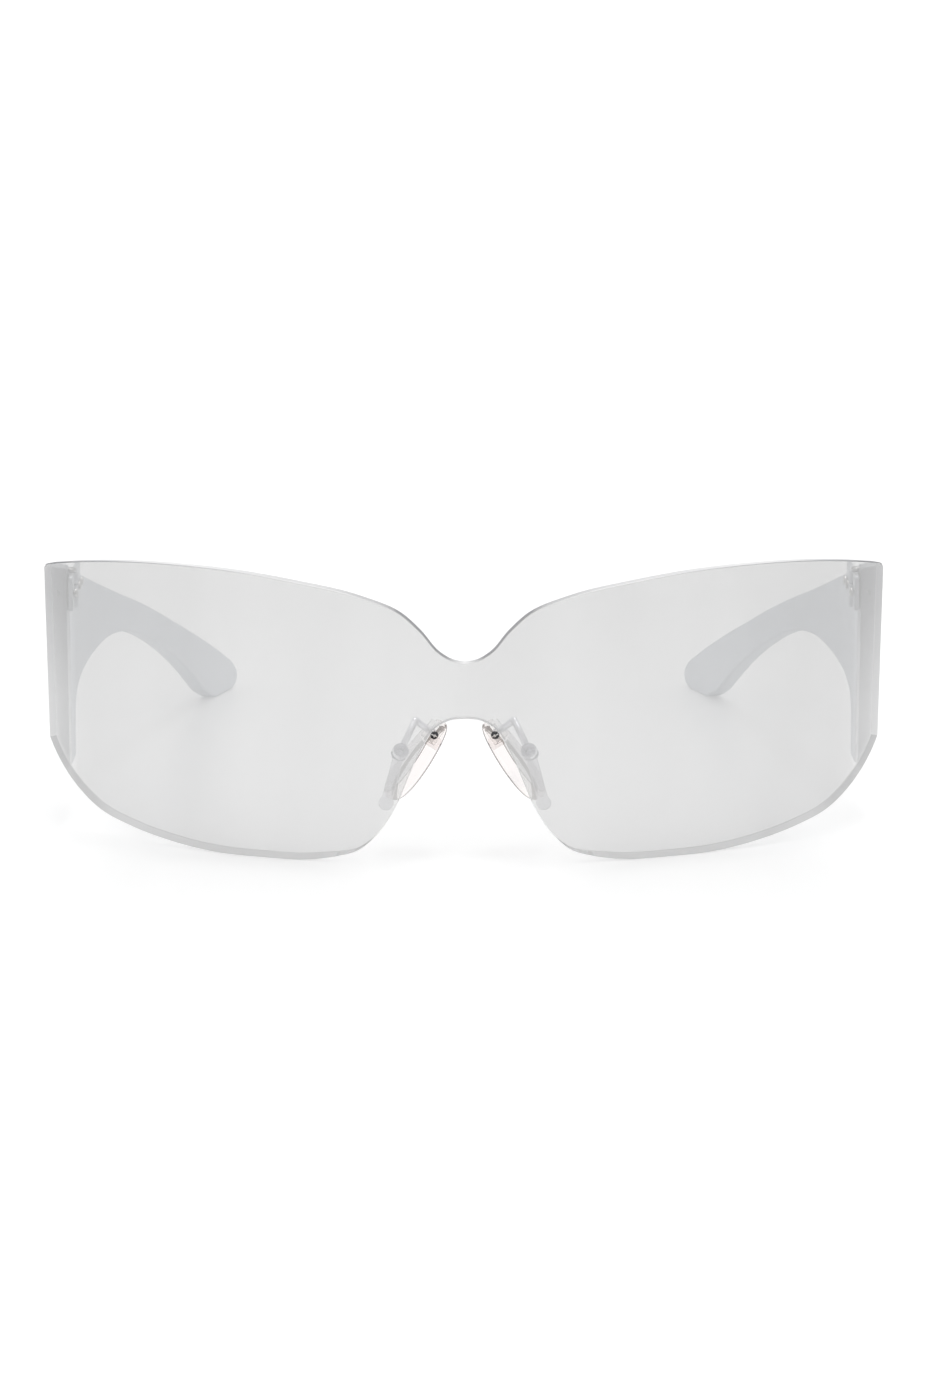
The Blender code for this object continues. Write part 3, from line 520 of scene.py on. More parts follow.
def clearFace():
    return newMaterial("lensInnerFace", coating["inner"], 0.0, 0.0, 1.0, coating["ior"])[0]


# Painted reflection on the upper rim: a little grey where it lies level and dark where it slopes, as in the
# brow notch
lensEdge = {
    "light": (0.99, 0.99, 0.99), "paintedReflectionDark": (0.16, 0.16, 0.17), "roughness": 0.3, "transmission": 0.6,
    "facesUp": 0.3, "levelShade": 0.1, "steep": 0.62,
}


def lensRimPaintedReflection():
    material, shader = newMaterial(
        "lensRim", lensEdge["light"], lensEdge["roughness"], 0.0, lensEdge["transmission"], coating["ior"],
    )
    tree = material.node_tree
    geometry = tree.nodes.new("ShaderNodeNewGeometry")
    split = tree.nodes.new("ShaderNodeSeparateXYZ")
    tree.links.new(geometry.outputs["Normal"], split.inputs["Vector"])
    # Painted reflection: the rim darkens with how steeply it slopes
    lean = mathNode(tree, "ADD", mathNode(tree, "ABSOLUTE", split.outputs["X"]), lensEdge["levelShade"])
    upward = mathNode(tree, "GREATER_THAN", split.outputs["Z"], lensEdge["facesUp"])
    slope = mathNode(tree, "MULTIPLY", lean, upward)
    tint = colourMix(tree, slope, (0, lensEdge["steep"]), lensEdge["light"], lensEdge["paintedReflectionDark"])
    tree.links.new(tint, shader.inputs["Base Color"])
    return material


# Painted shade on the silicone: darker where it rounds over into its broad faces, and a little grey on its
# outer face
silicone = {
    "clear": (0.92, 0.885, 0.875), "edge": (0.16, 0.14, 0.13), "paintedShadeGrey": (0.62, 0.62, 0.63),
    "flat": 0.985, "outerTurn": 0.93, "innerTurn": 0.57, "roughness": 0.05, "ior": 1.06,
}


def siliconeFinish(name, colour):
    return newMaterial(name, colour, silicone["roughness"], 0.0, 1.0, silicone["ior"])[0]


plastic = {"clear": (0.96, 0.95, 0.94), "roughness": 0.08, "transmission": 0.95, "ior": 1.05}


def clearPlastic(name, colour):
    return newMaterial(name, colour, plastic["roughness"], 0.0, plastic["transmission"], plastic["ior"])[0]


mouldedSurface = surfaceGroup()
coatingPaintedReflectionFinish = mirrorCoatingPaintedReflection()
innerFinish = clearFace()
rimPaintedReflectionFinish = lensRimPaintedReflection()
templeFinish = opaqueMaterial("satinSilver", satinDetail)
endPaintedShadeFinish = endGreyPaintedShade()
steelFinish = opaqueMaterial("brushedSteel", steelDetail)
wireFinish = opaqueMaterial("wireSteel", wireDetail)
screwFinish = opaqueMaterial("screwSteel", screwDetail)
ringFinish = opaqueMaterial("darkRing", ringDetail)
bracketFinish = translucentGrey()
padFinish = siliconeFinish("clearSilicone", silicone["clear"])
padBackPaintedShade = siliconeFinish("siliconeBackPaintedShade", silicone["paintedShadeGrey"])
padEdgePaintedShade = siliconeFinish("siliconeEdgePaintedShade", silicone["edge"])
coreFinish = clearPlastic("clearPlastic", plastic["clear"])
coreBackPaintedShade = clearPlastic("plasticBackPaintedShade", silicone["paintedShadeGrey"])
print("materials made")


# Lens
lens = {
    "width": 0.1457, "height": 0.0495, "radius": 0.104, "thickness": 0.002, "edge": 0.0002,
    "strips": 180, "steps": 6, "facing": 0.9,
    "rimSlant": 0.0008, "slantTop": 0.014, "slantSides": (0.016, 0.024),
    "browShares": (
        (0.000, 0.707), (0.032, 0.716), (0.058, 0.739), (0.103, 0.814), (0.148, 0.872), (0.240, 0.926),
        (0.400, 0.972), (0.530, 0.994), (0.660, 1.000), (0.780, 0.993), (0.907, 0.969), (0.985, 0.945),
    ),
    "cornerShares": ((0.995, 0.939), (1.000, 0.925)),
    "cheekShares": (
        (0.994, 0.322), (0.987, 0.297), (0.970, 0.249), (0.916, 0.150), (0.868, 0.096), (0.790, 0.054),
        (0.700, 0.024), (0.620, 0.007), (0.540, 0.000),
    ),
    "restShare": (0.430, 0.000),
    "noseHalfWidth": 0.0262, "noseHeight": 0.0254,
    "noseShares": (
        (1.000, 0.010), (0.811, 0.047), (0.706, 0.082), (0.597, 0.170), (0.455, 0.377), (0.371, 0.584),
        (0.314, 0.721), (0.243, 0.858), (0.200, 0.927), (0.157, 0.961), (0.095, 0.990), (0.000, 1.000),
    ),
}
lensFrontY = lensLow.y
halfWidth = lens["width"] / 2
backRadius = lens["radius"] - lens["thickness"]


# A spot in plan on a circle about the lens's own upright axis
def onCircle(angle, radius):
    return Vector((radius * math.sin(angle), lensFrontY + lens["radius"] - radius * math.cos(angle)))


def lensKnots():
    width, height = halfWidth, lens["height"]
    brow = smoothRun(scaled(lens["browShares"], width, height), (1, 0))
    corner = corners(scaled(lens["cornerShares"], width, height))
    cheek = smoothRun(scaled(lens["cheekShares"], width, height), None, (-1, 0))
    rest = scaled([lens["restShare"]], width, height)
    cut = scaled(lens["noseShares"], lens["noseHalfWidth"], lens["noseHeight"])
    nose = smoothRun(rest + cut, (-1, 0), (-1, 0))
    half = chained([brow, corner[:1], corner[1:], cheek, nose])
    flip = Vector((-1, 1))
    other = [[right * flip, spot * flip, left * flip] for left, spot, right in reversed(half[1:-1])]
    half[0][0] = half[0][2] * flip
    half[-1][2] = half[-1][0] * flip
    return half + other


def paintLens(shape):
    for face in shape.faces:
        centre = face.calc_center_median()
        outward = Vector((centre.x, centre.y - lensFrontY - lens["radius"], 0)).normalized()
        facing = face.normal.dot(outward)
        face.material_index = 0 if facing > lens["facing"] else 2 if facing < -lens["facing"] else 1


# The lower rim slants: it climbs a little from the front of the lens to its back, but not at the nose
def rimClimb(x, z, depth):
    inner, outer = lens["slantSides"]
    away = min(1, max(0, (abs(x) - inner) / (outer - inner)))
    low = max(0, 1 - z / lens["slantTop"])
    return lens["rimSlant"] * depth * away * low


def buildLens():
    def place(x, z, depth):
        spot = onCircle(math.asin(x / lens["radius"]), lens["radius"] - lens["thickness"] * depth)
        return Vector((spot.x, spot.y, z + rimClimb(x, z, depth)))

    plate = flatSheet(lensKnots(), lens["steps"])
    thickened(plate, lens["thickness"])
    rounded(plate, lens["edge"], clamp=False)
    bent(plate, lens["strips"], lens["thickness"], place)
    paintLens(plate)
    finishes = (coatingPaintedReflectionFinish, rimPaintedReflectionFinish, innerFinish)
    makePiece("maskLens", plate, finishes, "front", "lens_shield")
    print("lens made")


# End piece, and the plan of the corner that the hinge shares
endPiece = {
    "width": 0.0040, "inset": 0.0002, "sideDepth": 0.0008, "sink": 0.0001, "footShare": 0.202,
    "footSlope": 0.0055, "edge": 0.00025, "frontSteps": 4, "sharpAngle": 30,
}
hinge = {
    "height": 0.0062, "drop": 0.0006, "knuckleRadius": 0.0012, "pinRadius": 0.00045,
    "pinHeadRadius": 0.0009, "pinHeadHeight": 0.0005, "leafThickness": 0.0008,
    "leafEdge": 0.00015, "frontLeafGap": 0.0016, "rearLeafLength": 0.0085, "screwShares": (0.25, 0.75),
    "screwRadius": 0.0004, "screwHeadRadius": 0.0008, "screwHeadHeight": 0.0005, "screwReach": 0.0014,
    "leafRoundSteps": 6, "pinTurn": 35, "frontScrewTurn": 0.4, "rearScrewTurn": 0.9,
}
endAngle = math.asin(halfWidth / lens["radius"])
innerFace = halfWidth - endPiece["inset"] - endPiece["width"]
outerFace = halfWidth - endPiece["inset"]
endTop = lens["height"] * lens["cornerShares"][-1][1] - endPiece["sink"]
endFoot = lens["height"] * endPiece["footShare"]
seatCircle = backRadius - seatGap
seatEnd = onCircle(endAngle, seatCircle)
flankY = seatEnd.y + (outerFace - seatEnd.x) * math.tan(endAngle)
cornerBack = flankY + endPiece["sideDepth"]
hingeAxis = Vector(joints["temple_left_fold"]["pos_m"])
hingeTop = endTop - hinge["drop"] - hinge["pinHeadHeight"] - seatGap
hingeBottom = hingeTop - hinge["height"]
knuckleStep = hinge["height"] / 3
leafOuter = innerFace - seatGap
leafInner = leafOuter - hinge["leafThickness"]
hingeSwing = hinge["knuckleRadius"] + seatGap
frontLeafEnd = onCircle(math.asin(leafInner / backRadius), backRadius).y + hinge["frontLeafGap"]
frontScrewY = (hingeAxis.y - hingeSwing + frontLeafEnd) / 2
rearScrewYs = [hingeAxis.y + hingeSwing + hinge["rearLeafLength"] * share for share in hinge["screwShares"]]
screwZ = (hingeTop + hingeBottom) / 2


# Cuts the slanting foot, which follows the lower corner of the lens
def cutFoot(shape):
    normal = Vector((-endPiece["footSlope"], 0, endPiece["width"])).normalized()
    result = bmesh.ops.bisect_plane(
        shape, geom=shape.verts[:] + shape.edges[:] + shape.faces[:], dist=tinyStep,
        plane_co=(innerFace, 0, endFoot), plane_no=normal, clear_inner=True,
    )
    rim = [item for item in result["geom_cut"] if isinstance(item, bmesh.types.BMEdge)]
    bmesh.ops.contextual_create(shape, geom=rim)
    bmesh.ops.recalc_face_normals(shape, faces=shape.faces[:])


def knucklePocket():
    low = (hingeAxis.x, hingeAxis.y, hingeBottom - seatGap)
    high = (hingeAxis.x, hingeAxis.y, endTop + seatGap * 4)
    return roundBar(low, high, hingeSwing)


def screwHole(y, depth):
    start = (leafInner - seatGap * 3, y, screwZ)
    return roundBar(start, (leafInner + depth, y, screwZ), hinge["screwRadius"] + boreGap, holeSides)


def buildEndPiece(side, word):
    innerAngle = math.asin(innerFace / seatCircle)
    step = (endAngle - innerAngle) / endPiece["frontSteps"]
    steps = range(endPiece["frontSteps"] + 1)
    outline = [onCircle(innerAngle + step * index, seatCircle) for index in steps]
    outline += [(outerFace, flankY), (outerFace, cornerBack), (innerFace, cornerBack)]
    shape = prism(outline, endFoot - endPiece["footSlope"], endTop)
    cutFoot(shape)
    rounded(shape, endPiece["edge"], edges=sharpEdges(shape, endPiece["sharpAngle"]))
    depth = hinge["leafThickness"] + hinge["screwReach"] + seatGap * 2
    shape = carved(shape, (("DIFFERENCE", knucklePocket()), ("DIFFERENCE", screwHole(frontScrewY, depth))))
    makePiece(f"endBar_{word}", shape, (endPaintedShadeFinish,), "front", f"end_piece_{word}", side)


# Temple
temple = {
    "length": 0.1135, "bendStart": 0.0105, "bend": 20, "bendSteps": 24, "frontThickness": 0.0038,
    "middleThickness": 0.0028, "tipThickness": 0.0034, "edge": 0.0006, "edgeSteps": 5, "strips": 100,
    "steps": 6, "pathDigits": 7,
    "topShares": (
        (0.000, 1.000), (0.194, 0.862), (0.397, 0.704), (0.550, 0.581), (0.727, 0.410), (0.863, 0.266),
        (0.948, 0.163), (0.990, 0.098), (1.000, 0.055), (0.992, 0.018), (0.970, 0.000),
    ),
    "lowerShares": (
        (0.908, 0.000), (0.865, 0.035), (0.800, 0.136), (0.745, 0.222), (0.680, 0.308), (0.600, 0.398),
        (0.510, 0.477), (0.430, 0.521), (0.350, 0.538), (0.275, 0.529), (0.206, 0.509), (0.132, 0.470),
        (0.092, 0.425), (0.076, 0.360),
    ),
    "legShares": ((0.064, 0.000), (0.000, 0.000)),
}
templeStart = cornerBack + seatGap


def templeHeading(bentLength):
    bendLength = temple["length"] - temple["bendStart"]
    return math.radians(temple["bend"]) * math.sqrt(bentLength / bendLength)


# Where the temple's inner face runs in plan, and which way it heads there
def templePath(along):
    spot = Vector((innerFace, templeStart))
    straight = min(along, temple["bendStart"])
    spot.y += straight
    run = (along - straight) / temple["bendSteps"]
    for index in range(temple["bendSteps"]):
        heading = templeHeading(run * (index + 0.5))
        spot += Vector((-math.sin(heading), math.cos(heading))) * run
    return spot, templeHeading(along - straight)


def templeThickness(along):
    share = 2 * along / temple["length"]
    first, second = temple["frontThickness"], temple["middleThickness"]
    if share > 1:
        share -= 1
        first, second = second, temple["tipThickness"]
    return first + (second - first) * (1 - math.cos(math.pi * share)) / 2


def templeKnots():
    length = temple["length"]
    top = smoothRun(scaled(temple["topShares"], length, endTop), None, (-1, 0))
    lower = smoothRun(scaled(temple["lowerShares"], length, endTop), (-1, 0), (0, -1))
    leg = corners(scaled(temple["legShares"], length, endTop))
    knots = chained([top, lower, leg[:1], leg[1:]])
    straighten(knots[-1], knots[0])
    return knots


def buildTemple(side, word):
    paths = {}

    def place(along, z, depth):
        key = round(along, temple["pathDigits"])
        if key not in paths:
            paths[key] = templePath(max(along, 0))
        spot, heading = paths[key]
        across = Vector((math.cos(heading), math.sin(heading)))
        spot = spot + across * templeThickness(along) * depth
        return Vector((spot.x, spot.y, z))

    plate = flatSheet(templeKnots(), temple["steps"])
    thickened(plate, temple["frontThickness"])
    rim = [edge for edge in sharpEdges(plate) if max(vert.co.x for vert in edge.verts) > seatGap / 2]
    rounded(plate, temple["edge"], temple["edgeSteps"], rim, clamp=False)
    bent(plate, temple["strips"], temple["frontThickness"], place)
    cutFoot(plate)
    depth = hinge["leafThickness"] + hinge["screwReach"] + seatGap * 2
    cuts = [("DIFFERENCE", knucklePocket())]
    cuts += [("DIFFERENCE", screwHole(y, depth)) for y in rearScrewYs]
    shape = carved(plate, cuts)
    body = f"temple_{word}_body"
    makePiece(f"templeArm_{word}", shape, (templeFinish,), body, f"temple_{word}", side)


# Hinge leaves, pin and screws
def leafPlate(near, far):
    shape = block(
        hinge["leafThickness"], abs(far - near), hinge["height"],
        Matrix.Translation(((leafInner + leafOuter) / 2, (near + far) / 2, screwZ)),
    )
    farSide = [
        edge for edge in shape.edges
        if all(abs(vert.co.y - far) < tinyStep for vert in edge.verts)
        and abs(edge.verts[0].co.x - edge.verts[1].co.x) > tinyStep
    ]
    rounded(shape, hinge["leafThickness"], hinge["leafRoundSteps"], farSide)
    return rounded(shape, hinge["leafEdge"], 2)


# A knuckle: a barrel about the pin, and the web that joins it to its leaf
def knuckle(bottom, top, plateEnd):
    low = (hingeAxis.x, hingeAxis.y, bottom)
    high = (hingeAxis.x, hingeAxis.y, top)
    barrel = roundBar(low, high, hinge["knuckleRadius"], barrelSides, hinge["leafEdge"] / 2)
    reach = abs(plateEnd - hingeAxis.y)
    middle = (plateEnd + hingeAxis.y) / 2
    web = block(
        hinge["leafThickness"], reach, top - bottom,
        Matrix.Translation(((leafInner + leafOuter) / 2, middle, (bottom + top) / 2)), hinge["leafEdge"] / 3,
    )
    return [("UNION", barrel), ("UNION", web)]


def pinBore():
    low = (hingeAxis.x, hingeAxis.y, hingeBottom - seatGap * 3)
    high = (hingeAxis.x, hingeAxis.y, hingeTop + seatGap * 3)
    return ("DIFFERENCE", roundBar(low, high, hinge["pinRadius"] + boreGap, eyeSides))


def buildFrontLeaf(side, word):
    near = hingeAxis.y - hingeSwing
    middleLow = hingeBottom + knuckleStep + seatGap / 2
    middleHigh = hingeTop - knuckleStep - seatGap / 2
    steps = knuckle(middleLow, middleHigh, near - seatGap * 2)
    steps += [pinBore(), ("DIFFERENCE", screwHole(frontScrewY, hinge["leafThickness"] + seatGap))]
    shape = carved(leafPlate(near, frontLeafEnd), steps)
    node = f"hinge_front_{word}"
    makePiece(f"frontLeaf_{word}", shape, (steelFinish,), "front", node, side)


def buildRearLeaf(side, word):
    near = hingeAxis.y + hingeSwing
    far = near + hinge["rearLeafLength"]
    height = knuckleStep - seatGap / 2
    steps = knuckle(hingeBottom, hingeBottom + height, near + seatGap * 2)
    steps += knuckle(hingeTop - height, hingeTop, near + seatGap * 2)
    steps += [pinBore()]
    steps += [("DIFFERENCE", screwHole(y, hinge["leafThickness"] + seatGap)) for y in rearScrewYs]
    shape = carved(leafPlate(near, far), steps)
    body = f"temple_{word}_body"
    makePiece(f"rearLeaf_{word}", shape, (steelFinish,), body, f"hinge_rear_{word}", side)


screw = {
    "cornerShare": 0.45, "rimShare": 0.8, "cornerSteps": 5, "tipShare": 0.4, "domeSpot": (0.35, 0.98),
    "slotShare": 0.3, "slotLift": 1.05,
}


# A screw with a low domed head, a rounded head rim and a driver slot; its seat is at height 0
def screwShape(sizes, reach, matrix, kind="screw"):
    shank, head, height = [sizes[kind + part] for part in ("Radius", "HeadRadius", "HeadHeight")]
    corner = height * screw["cornerShare"]
    rim = (height - corner) * screw["rimShare"]
    turns = [math.radians(step * 90 / screw["cornerSteps"]) for step in range(screw["cornerSteps"] + 1)]
    dome = [(head - corner + corner * math.cos(turn), rim + corner * math.sin(turn)) for turn in turns]
    tip = shank * screw["tipShare"]
    profile = [(0, -reach), (shank - tip, -reach), (shank, tip - reach), (shank, 0), (head, 0)]
    domeX, domeZ = screw["domeSpot"]
    profile += dome + [(head * domeX, height * domeZ), (0, height)]
    lift = Matrix.Translation((0, 0, height * screw["slotLift"]))
    slot = block(head * 3, head * screw["slotShare"], height, lift)
    return placed(carved(turned(profile), [("DIFFERENCE", slot)]), matrix)


def buildPin(side, word):
    seat = (hingeAxis.x, hingeAxis.y, hingeTop + seatGap)
    matrix = Matrix.Translation(seat) @ Matrix.Rotation(math.radians(hinge["pinTurn"]), 4, "Z")
    shape = screwShape(hinge, seatGap + hinge["height"], matrix, "pin")
    makePiece(f"hingePin_{word}", shape, (screwFinish,), "front", f"hinge_pin_{word}", side)


def buildLeafScrew(side, name, node, body, y, turn):
    reach = seatGap * 2 + hinge["leafThickness"] + hinge["screwReach"]
    matrix = towards((leafInner - seatGap, y, screwZ), (-1, 0, 0)) @ Matrix.Rotation(turn, 4, "Z")
    shape = screwShape(hinge, reach, matrix)
    makePiece(name, shape, (screwFinish,), body, node, side)


def buildHinge(side, word):
    buildFrontLeaf(side, word)
    buildRearLeaf(side, word)
    buildPin(side, word)
    node = f"hinge_front_screw_{word}"
    buildLeafScrew(side, f"frontLeafScrew_{word}", node, "front", frontScrewY, hinge["frontScrewTurn"])
    for number, y in enumerate(rearScrewYs, start=1):
        name = f"rearLeafScrew_{number}_{word}"
        node = f"hinge_rear_screw_{number}_{word}"
        buildLeafScrew(side, name, node, f"temple_{word}_body", y, hinge["rearScrewTurn"] * number)


# Nose fittings: the bracket on the lens, the wire arm and the pad
bracket = {
    "bossX": 0.0111, "bossZ": 0.0188, "bossRadius": 0.0014, "bossDepth": 0.0024, "strapWidth": 0.0018,
    "strapDepth": 0.0009, "footX": 0.0134, "footZ": 0.0102, "footRadius": 0.00125, "edge": 0.0002,
    "screwRadius": 0.0004, "screwHeadRadius": 0.0008, "screwHeadHeight": 0.0005, "screwReach": 0.0014,
    "screwTurn": 0.6, "endSteps": 24,
}
arm = {
    "wireRadius": 0.0006, "eyeRadius": 0.0012, "eyeDepth": 0.0006, "padEyeRadius": 0.0007,
    "padEyeDepth": 0.0010, "loopRise": 0.0044, "loopBack": 0.0020, "loopInset": 0.0022, "edge": 0.00008,
    "turnShare": 0.2, "sinkShare": 0.33, "wireSteps": 5, "bendSteps": 24,
}
pad = {
    "length": 0.0162, "width": 0.0080, "thickness": 0.0027, "lean": 35.0, "splay": 17, "narrowing": 0.143,
    "edge": 0.0011, "edgeSteps": 8, "sides": 72,
}
core = {
    "length": 0.0034, "width": 0.0030, "depth": 0.0021, "proud": 0.0001, "axisDepth": 0.0008, "rise": 0.0056,
    "slot": 0.0016, "edge": 0.00015, "screwRadius": 0.00025, "screwHeadRadius": 0.0007,
    "screwHeadHeight": 0.0004, "screwTurn": 0.5, "ringShare": 0.5, "facing": 0.9,
}
bossAngle = math.asin(bracket["bossX"] / backRadius)
backwards = Vector((-math.sin(bossAngle), math.cos(bossAngle), 0))
bossPlan = onCircle(bossAngle, seatCircle)
bossSeat = Vector((bossPlan.x, bossPlan.y, bracket["bossZ"]))
padLean = math.radians(pad["lean"])
padSplay = math.radians(pad["splay"])
padAlong = Vector((-math.sin(padLean), 0, math.cos(padLean)))
padFlat = Vector((-math.cos(padLean), 0, -math.sin(padLean)))
padFace = padFlat * math.cos(padSplay) + Vector((0, math.sin(padSplay), 0))
padAcross = Vector(joints["pad_left_rock"]["axis"]).normalized()
rocker = Vector(joints["pad_left_rock"]["pos_m"])
coreBack = rocker - padFace * core["axisDepth"]
coreCentre = coreBack + padFace * (core["depth"] / 2)
padCentre = coreBack + padFace * (pad["thickness"] / 2 + core["proud"]) - padAlong * core["rise"]


# A strap in its own flat plan, round at both ends
def strapOutline(foot):
    along = foot.normalized()
    across = Vector((-along.y, along.x))
    outline = []
    for spot, radius, way in ((foot, bracket["footRadius"], 1), (Vector((0, 0)), bracket["bossRadius"], -1)):
        opening = math.asin(bracket["strapWidth"] / 2 / radius)
        for index in range(bracket["endSteps"] + 1):
            angle = math.pi - opening - (math.tau - 2 * opening) * index / bracket["endSteps"]
            outline.append(spot + (along * math.cos(angle) + across * math.sin(angle)) * way * radius)
    return outline


def buildBracket(side, word):
    foot = Vector((bracket["footX"] - bracket["bossX"], bracket["footZ"] - bracket["bossZ"]))
    strap = prism(strapOutline(foot), 0, bracket["strapDepth"])
    rounded(strap, bracket["edge"])
    placed(strap, axesMatrix(bossSeat, backwards.cross(up), up, backwards))
    boss = roundBar(
        bossSeat, bossSeat + backwards * bracket["bossDepth"], bracket["bossRadius"], barrelSides,
        bracket["edge"],
    )
    high = bossSeat + backwards * (bracket["bossDepth"] + seatGap)
    low = bossSeat + backwards * (bracket["bossDepth"] - bracket["screwReach"] - seatGap)
    hole = roundBar(low, high, bracket["screwRadius"] + boreGap, holeSides)
    shape = carved(strap, [("UNION", boss), ("DIFFERENCE", hole)])
    name = f"noseBracket_{word}"
    makePiece(name, shape, (bracketFinish,), "front", f"nose_bracket_{word}", side)


def buildBracketScrew(side, word):
    lift = bracket["bossDepth"] + seatGap * 2 + arm["eyeDepth"]
    reach = arm["eyeDepth"] + seatGap * 2 + bracket["screwReach"]
    matrix = towards(bossSeat + backwards * lift, backwards) @ Matrix.Rotation(bracket["screwTurn"], 4, "Z")
    shape = screwShape(bracket, reach, matrix)
    node = f"bracket_screw_{word}"
    makePiece(f"bossScrew_{word}", shape, (wireFinish,), "front", node, side)


# The wire climbs from the boss eye, turns over and drops to the pad's eye
def armWire():
    start = bossSeat + backwards * (bracket["bossDepth"] + seatGap + arm["eyeDepth"] / 2)
    crest = Vector((start.x - arm["loopInset"], start.y + arm["loopBack"], start.z + arm["loopRise"]))
    climb = crest - start
    climb = (climb - backwards * climb.dot(backwards)).normalized()
    sink = arm["wireRadius"] * arm["sinkShare"]
    leave = start + climb * (arm["eyeRadius"] - sink)
    arrive = rocker - padFace * (arm["padEyeRadius"] - sink)
    far = arrive - padFace * (arm["loopBack"] + arm["eyeRadius"])
    rise = climb * (crest - leave).length / 2
    turn = (far - leave) * arm["turnShare"]
    curve = bpy.data.curves.new("wire", "CURVE")
    curve.dimensions = "3D"
    curve.bevel_depth = arm["wireRadius"]
    curve.bevel_resolution = arm["wireSteps"]
    curve.resolution_u = arm["bendSteps"]
    curve.use_fill_caps = True
    knots = (
        (leave - rise, leave, leave + rise),
        (crest - turn, crest, crest + turn),
        (far, arrive, arrive + (arrive - far)),
    )
    shape = curveMesh(curve, knots, False)
    bmesh.ops.recalc_face_normals(shape, faces=shape.faces[:])
    return shape


def rockerHole():
    reach = padAcross * core["width"]
    return ("DIFFERENCE", roundBar(rocker - reach, rocker + reach, core["screwRadius"] + boreGap, holeSides))


def buildArm(side, word):
    eyeStart = bossSeat + backwards * (bracket["bossDepth"] + seatGap)
    eye = roundBar(eyeStart, eyeStart + backwards * arm["eyeDepth"], arm["eyeRadius"], eyeSides, arm["edge"])
    half = padAcross * arm["padEyeDepth"] / 2
    padEye = roundBar(rocker - half, rocker + half, arm["padEyeRadius"], eyeSides, arm["edge"])
    run = backwards * bracket["bossDepth"]
    hole = roundBar(eyeStart - run, eyeStart + run, bracket["screwRadius"] + boreGap, holeSides)
    steps = [("UNION", eye), ("UNION", padEye), ("DIFFERENCE", hole), rockerHole()]
    shape = carved(armWire(), steps)
    makePiece(f"padArm_{word}", shape, (wireFinish,), "front", f"pad_arm_{word}", side)


# The pad's drop shape: an oval that is narrower at its upper end, with full round edges
def padShape():
    outline = []
    for index in range(pad["sides"]):
        angle = math.tau * index / pad["sides"]
        narrow = 1 - math.sin(angle) * pad["narrowing"]
        outline.append((pad["width"] / 2 * math.cos(angle) * narrow, pad["length"] / 2 * math.sin(angle)))
    shape = prism(outline, -pad["thickness"] / 2, pad["thickness"] / 2)
    return rounded(shape, pad["edge"], pad["edgeSteps"])


# Painted shade: the pad's outer side is a little grey, and its rim is darker where it turns into the broad
# faces
def paintPad(shape, pocketSize, pocketAxes):
    toPocket = pocketAxes.inverted()
    for face in shape.faces:
        local = toPocket @ face.calc_center_median()
        inPocket = all(abs(place) < size / 2 + tinyStep for place, size in zip(local, pocketSize))
        flatness = face.normal.dot(padFace)
        turnStart = silicone["innerTurn"] if flatness > 0 else silicone["outerTurn"]
        if inPocket:
            face.material_index = 0
        # Painted shade: the outer broad face is a little grey
        elif flatness < -silicone["flat"]:
            face.material_index = 1
        else:
            # Painted shade on the bands where the rim turns into the broad faces
            face.material_index = 2 if turnStart < abs(flatness) < silicone["flat"] else 0


def buildPad(side, word):
    shape = placed(padShape(), axesMatrix(padCentre, padAcross, padAlong, padFace))
    axes = axesMatrix(coreCentre, padAcross, padAlong, padFace)
    size = (
        core["width"] + 2 * (core["screwHeadHeight"] + 2 * seatGap), core["length"] + 2 * seatGap,
        core["depth"] + 2 * seatGap,
    )
    shape = carved(shape, [("DIFFERENCE", block(*size, axes, core["edge"]))])
    paintPad(shape, size, axes)
    body = f"pad_{word}_body"
    finishes = (padFinish, padBackPaintedShade, padEdgePaintedShade)
    makePiece(f"siliconePad_{word}", shape, finishes, body, f"nose_pad_{word}", side)


def paintCore(shape):
    for face in shape.faces:
        # Painted shade: the core's outer faces are a little grey
        face.material_index = 1 if face.normal.dot(padFace) < -core["facing"] else 0


def buildCore(side, word):
    axes = axesMatrix(coreCentre, padAcross, padAlong, padFace)
    shape = block(core["width"], core["length"], core["depth"], axes, core["edge"])
    slotFloor = core["axisDepth"] + arm["padEyeRadius"] + seatGap
    shift = Matrix.Translation(padFace * (slotFloor - core["depth"]))
    slot = block(core["slot"], core["length"] * 2, core["depth"], shift @ axes)
    shape = carved(shape, [("DIFFERENCE", slot), rockerHole()])
    paintCore(shape)
    body = f"pad_{word}_body"
    finishes = (coreFinish, coreBackPaintedShade)
    makePiece(f"padCore_{word}", shape, finishes, body, f"pad_core_{word}", side)


# The head of the pad's screw has a dark outer ring
def paintRing(shape, seat, headWay):
    for face in shape.faces:
        offset = face.calc_center_median() - seat
        radius = (offset - headWay * offset.dot(headWay)).length
        face.material_index = 1 if radius > core["screwHeadRadius"] * core["ringShare"] else 0


def buildPadScrew(side, word):
    headWay = -padAcross if padAcross.y > 0 else padAcross
    seat = rocker + headWay * (core["width"] / 2 + seatGap)
    matrix = towards(seat, headWay) @ Matrix.Rotation(core["screwTurn"], 4, "Z")
    shape = screwShape(core, core["width"] + seatGap, matrix)
    paintRing(shape, seat, headWay)
    body = f"pad_{word}_body"
    finishes = (screwFinish, ringFinish)
    makePiece(f"padScrew_{word}", shape, finishes, body, f"pad_screw_{word}", side)


# Studio
studio = {
    "ambient": 0.86, "key": 0.42, "keyTurn": (-4, 4, 0), "keySoftness": 18, "floorSize": 14,
    "floorColour": (0.80, 0.80, 0.80), "floorLift": 0.27, "floorRoughness": 0.3, "floorSpecular": 0.25,
    "floorDrop": 0.00002,
}
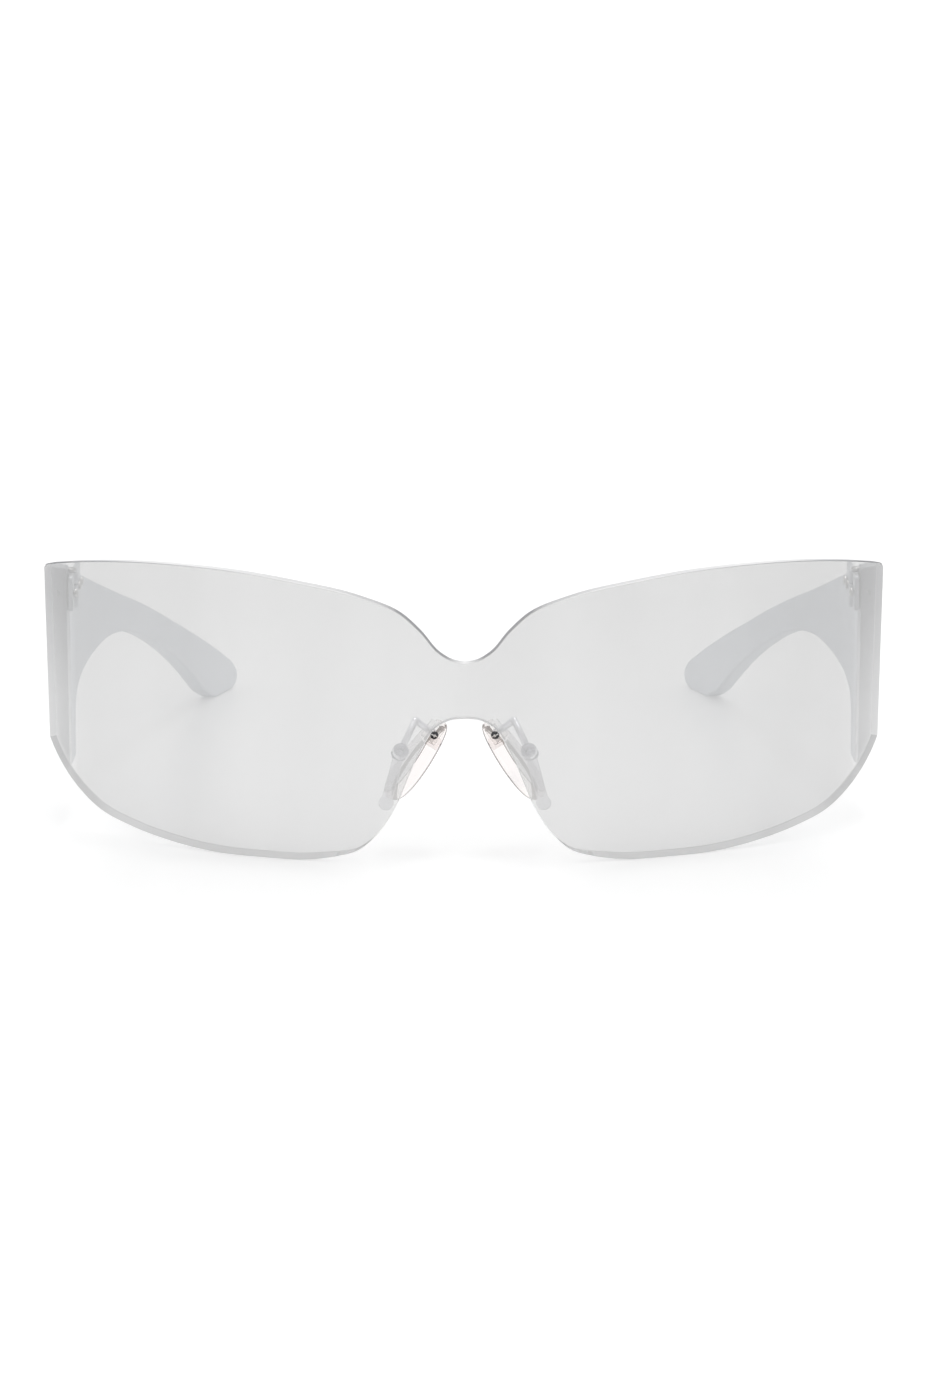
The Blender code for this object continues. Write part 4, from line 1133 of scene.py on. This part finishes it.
# The focal length is a share of the picture's longer side
view = {"distance": 0.700, "height": 0.1825, "tilt": 12.357, "turn": 0.35, "focalShare": 4280.6 / 1395}


def shownRay(tree):
    path = tree.nodes.new("ShaderNodeLightPath")
    seen = mathNode(tree, "MAXIMUM", path.outputs["Is Camera Ray"], path.outputs["Is Glossy Ray"])
    return mathNode(tree, "MAXIMUM", seen, path.outputs["Is Transmission Ray"])


def buildWorld():
    world = bpy.data.worlds.new("studio")
    bpy.context.scene.world = world
    world.use_nodes = True
    tree = world.node_tree
    background = tree.nodes["Background"]
    background.inputs["Color"].default_value = (1, 1, 1, 1)
    lift = mathNode(tree, "MULTIPLY", shownRay(tree), 1 - studio["ambient"])
    tree.links.new(mathNode(tree, "ADD", lift, studio["ambient"]), background.inputs["Strength"])


def buildFloor():
    shape = bmesh.new()
    bmesh.ops.create_grid(shape, x_segments=1, y_segments=1, size=studio["floorSize"] / 2)
    floor = meshObject(shape, "floor")
    floor.location.z = lensLow.z - studio["floorDrop"]
    material, shader = newMaterial("paleTable", studio["floorColour"], studio["floorRoughness"])
    shader.inputs["Specular IOR Level"].default_value = studio["floorSpecular"]
    shader.inputs["Emission Color"].default_value = (1, 1, 1, 1)
    tree = material.node_tree
    lift = mathNode(tree, "MULTIPLY", shownRay(tree), studio["floorLift"])
    tree.links.new(lift, shader.inputs["Emission Strength"])
    floor.data.materials.append(material)


def buildLights():
    lamp = bpy.data.lights.new("key", "SUN")
    lamp.energy = studio["key"]
    lamp.angle = math.radians(studio["keySoftness"])
    key = bpy.data.objects.new("key", lamp)
    key.rotation_euler = [math.radians(turn) for turn in studio["keyTurn"]]
    bpy.context.scene.collection.objects.link(key)


def buildCamera():
    data = bpy.data.cameras.new("camera")
    data.lens = view["focalShare"] * data.sensor_width
    camera = bpy.data.objects.new("camera", data)
    turn = math.radians(view["turn"])
    back = Vector((-math.sin(turn), -math.cos(turn), 0)) * view["distance"]
    camera.location = Vector((0, lensFrontY, view["height"])) + back
    camera.rotation_euler = (math.radians(90 - view["tilt"]), 0, -turn)
    bpy.context.scene.collection.objects.link(camera)
    bpy.context.scene.camera = camera
    bpy.context.scene.view_settings.view_transform = "Standard"


buildLens()
for side, word in bothSides:
    buildEndPiece(side, word)
    buildTemple(side, word)
    buildHinge(side, word)
    buildBracket(side, word)
    buildBracketScrew(side, word)
    buildArm(side, word)
    buildPad(side, word)
    buildCore(side, word)
    buildPadScrew(side, word)
    print("side made:", word)
buildWorld()
buildFloor()
buildLights()
buildCamera()
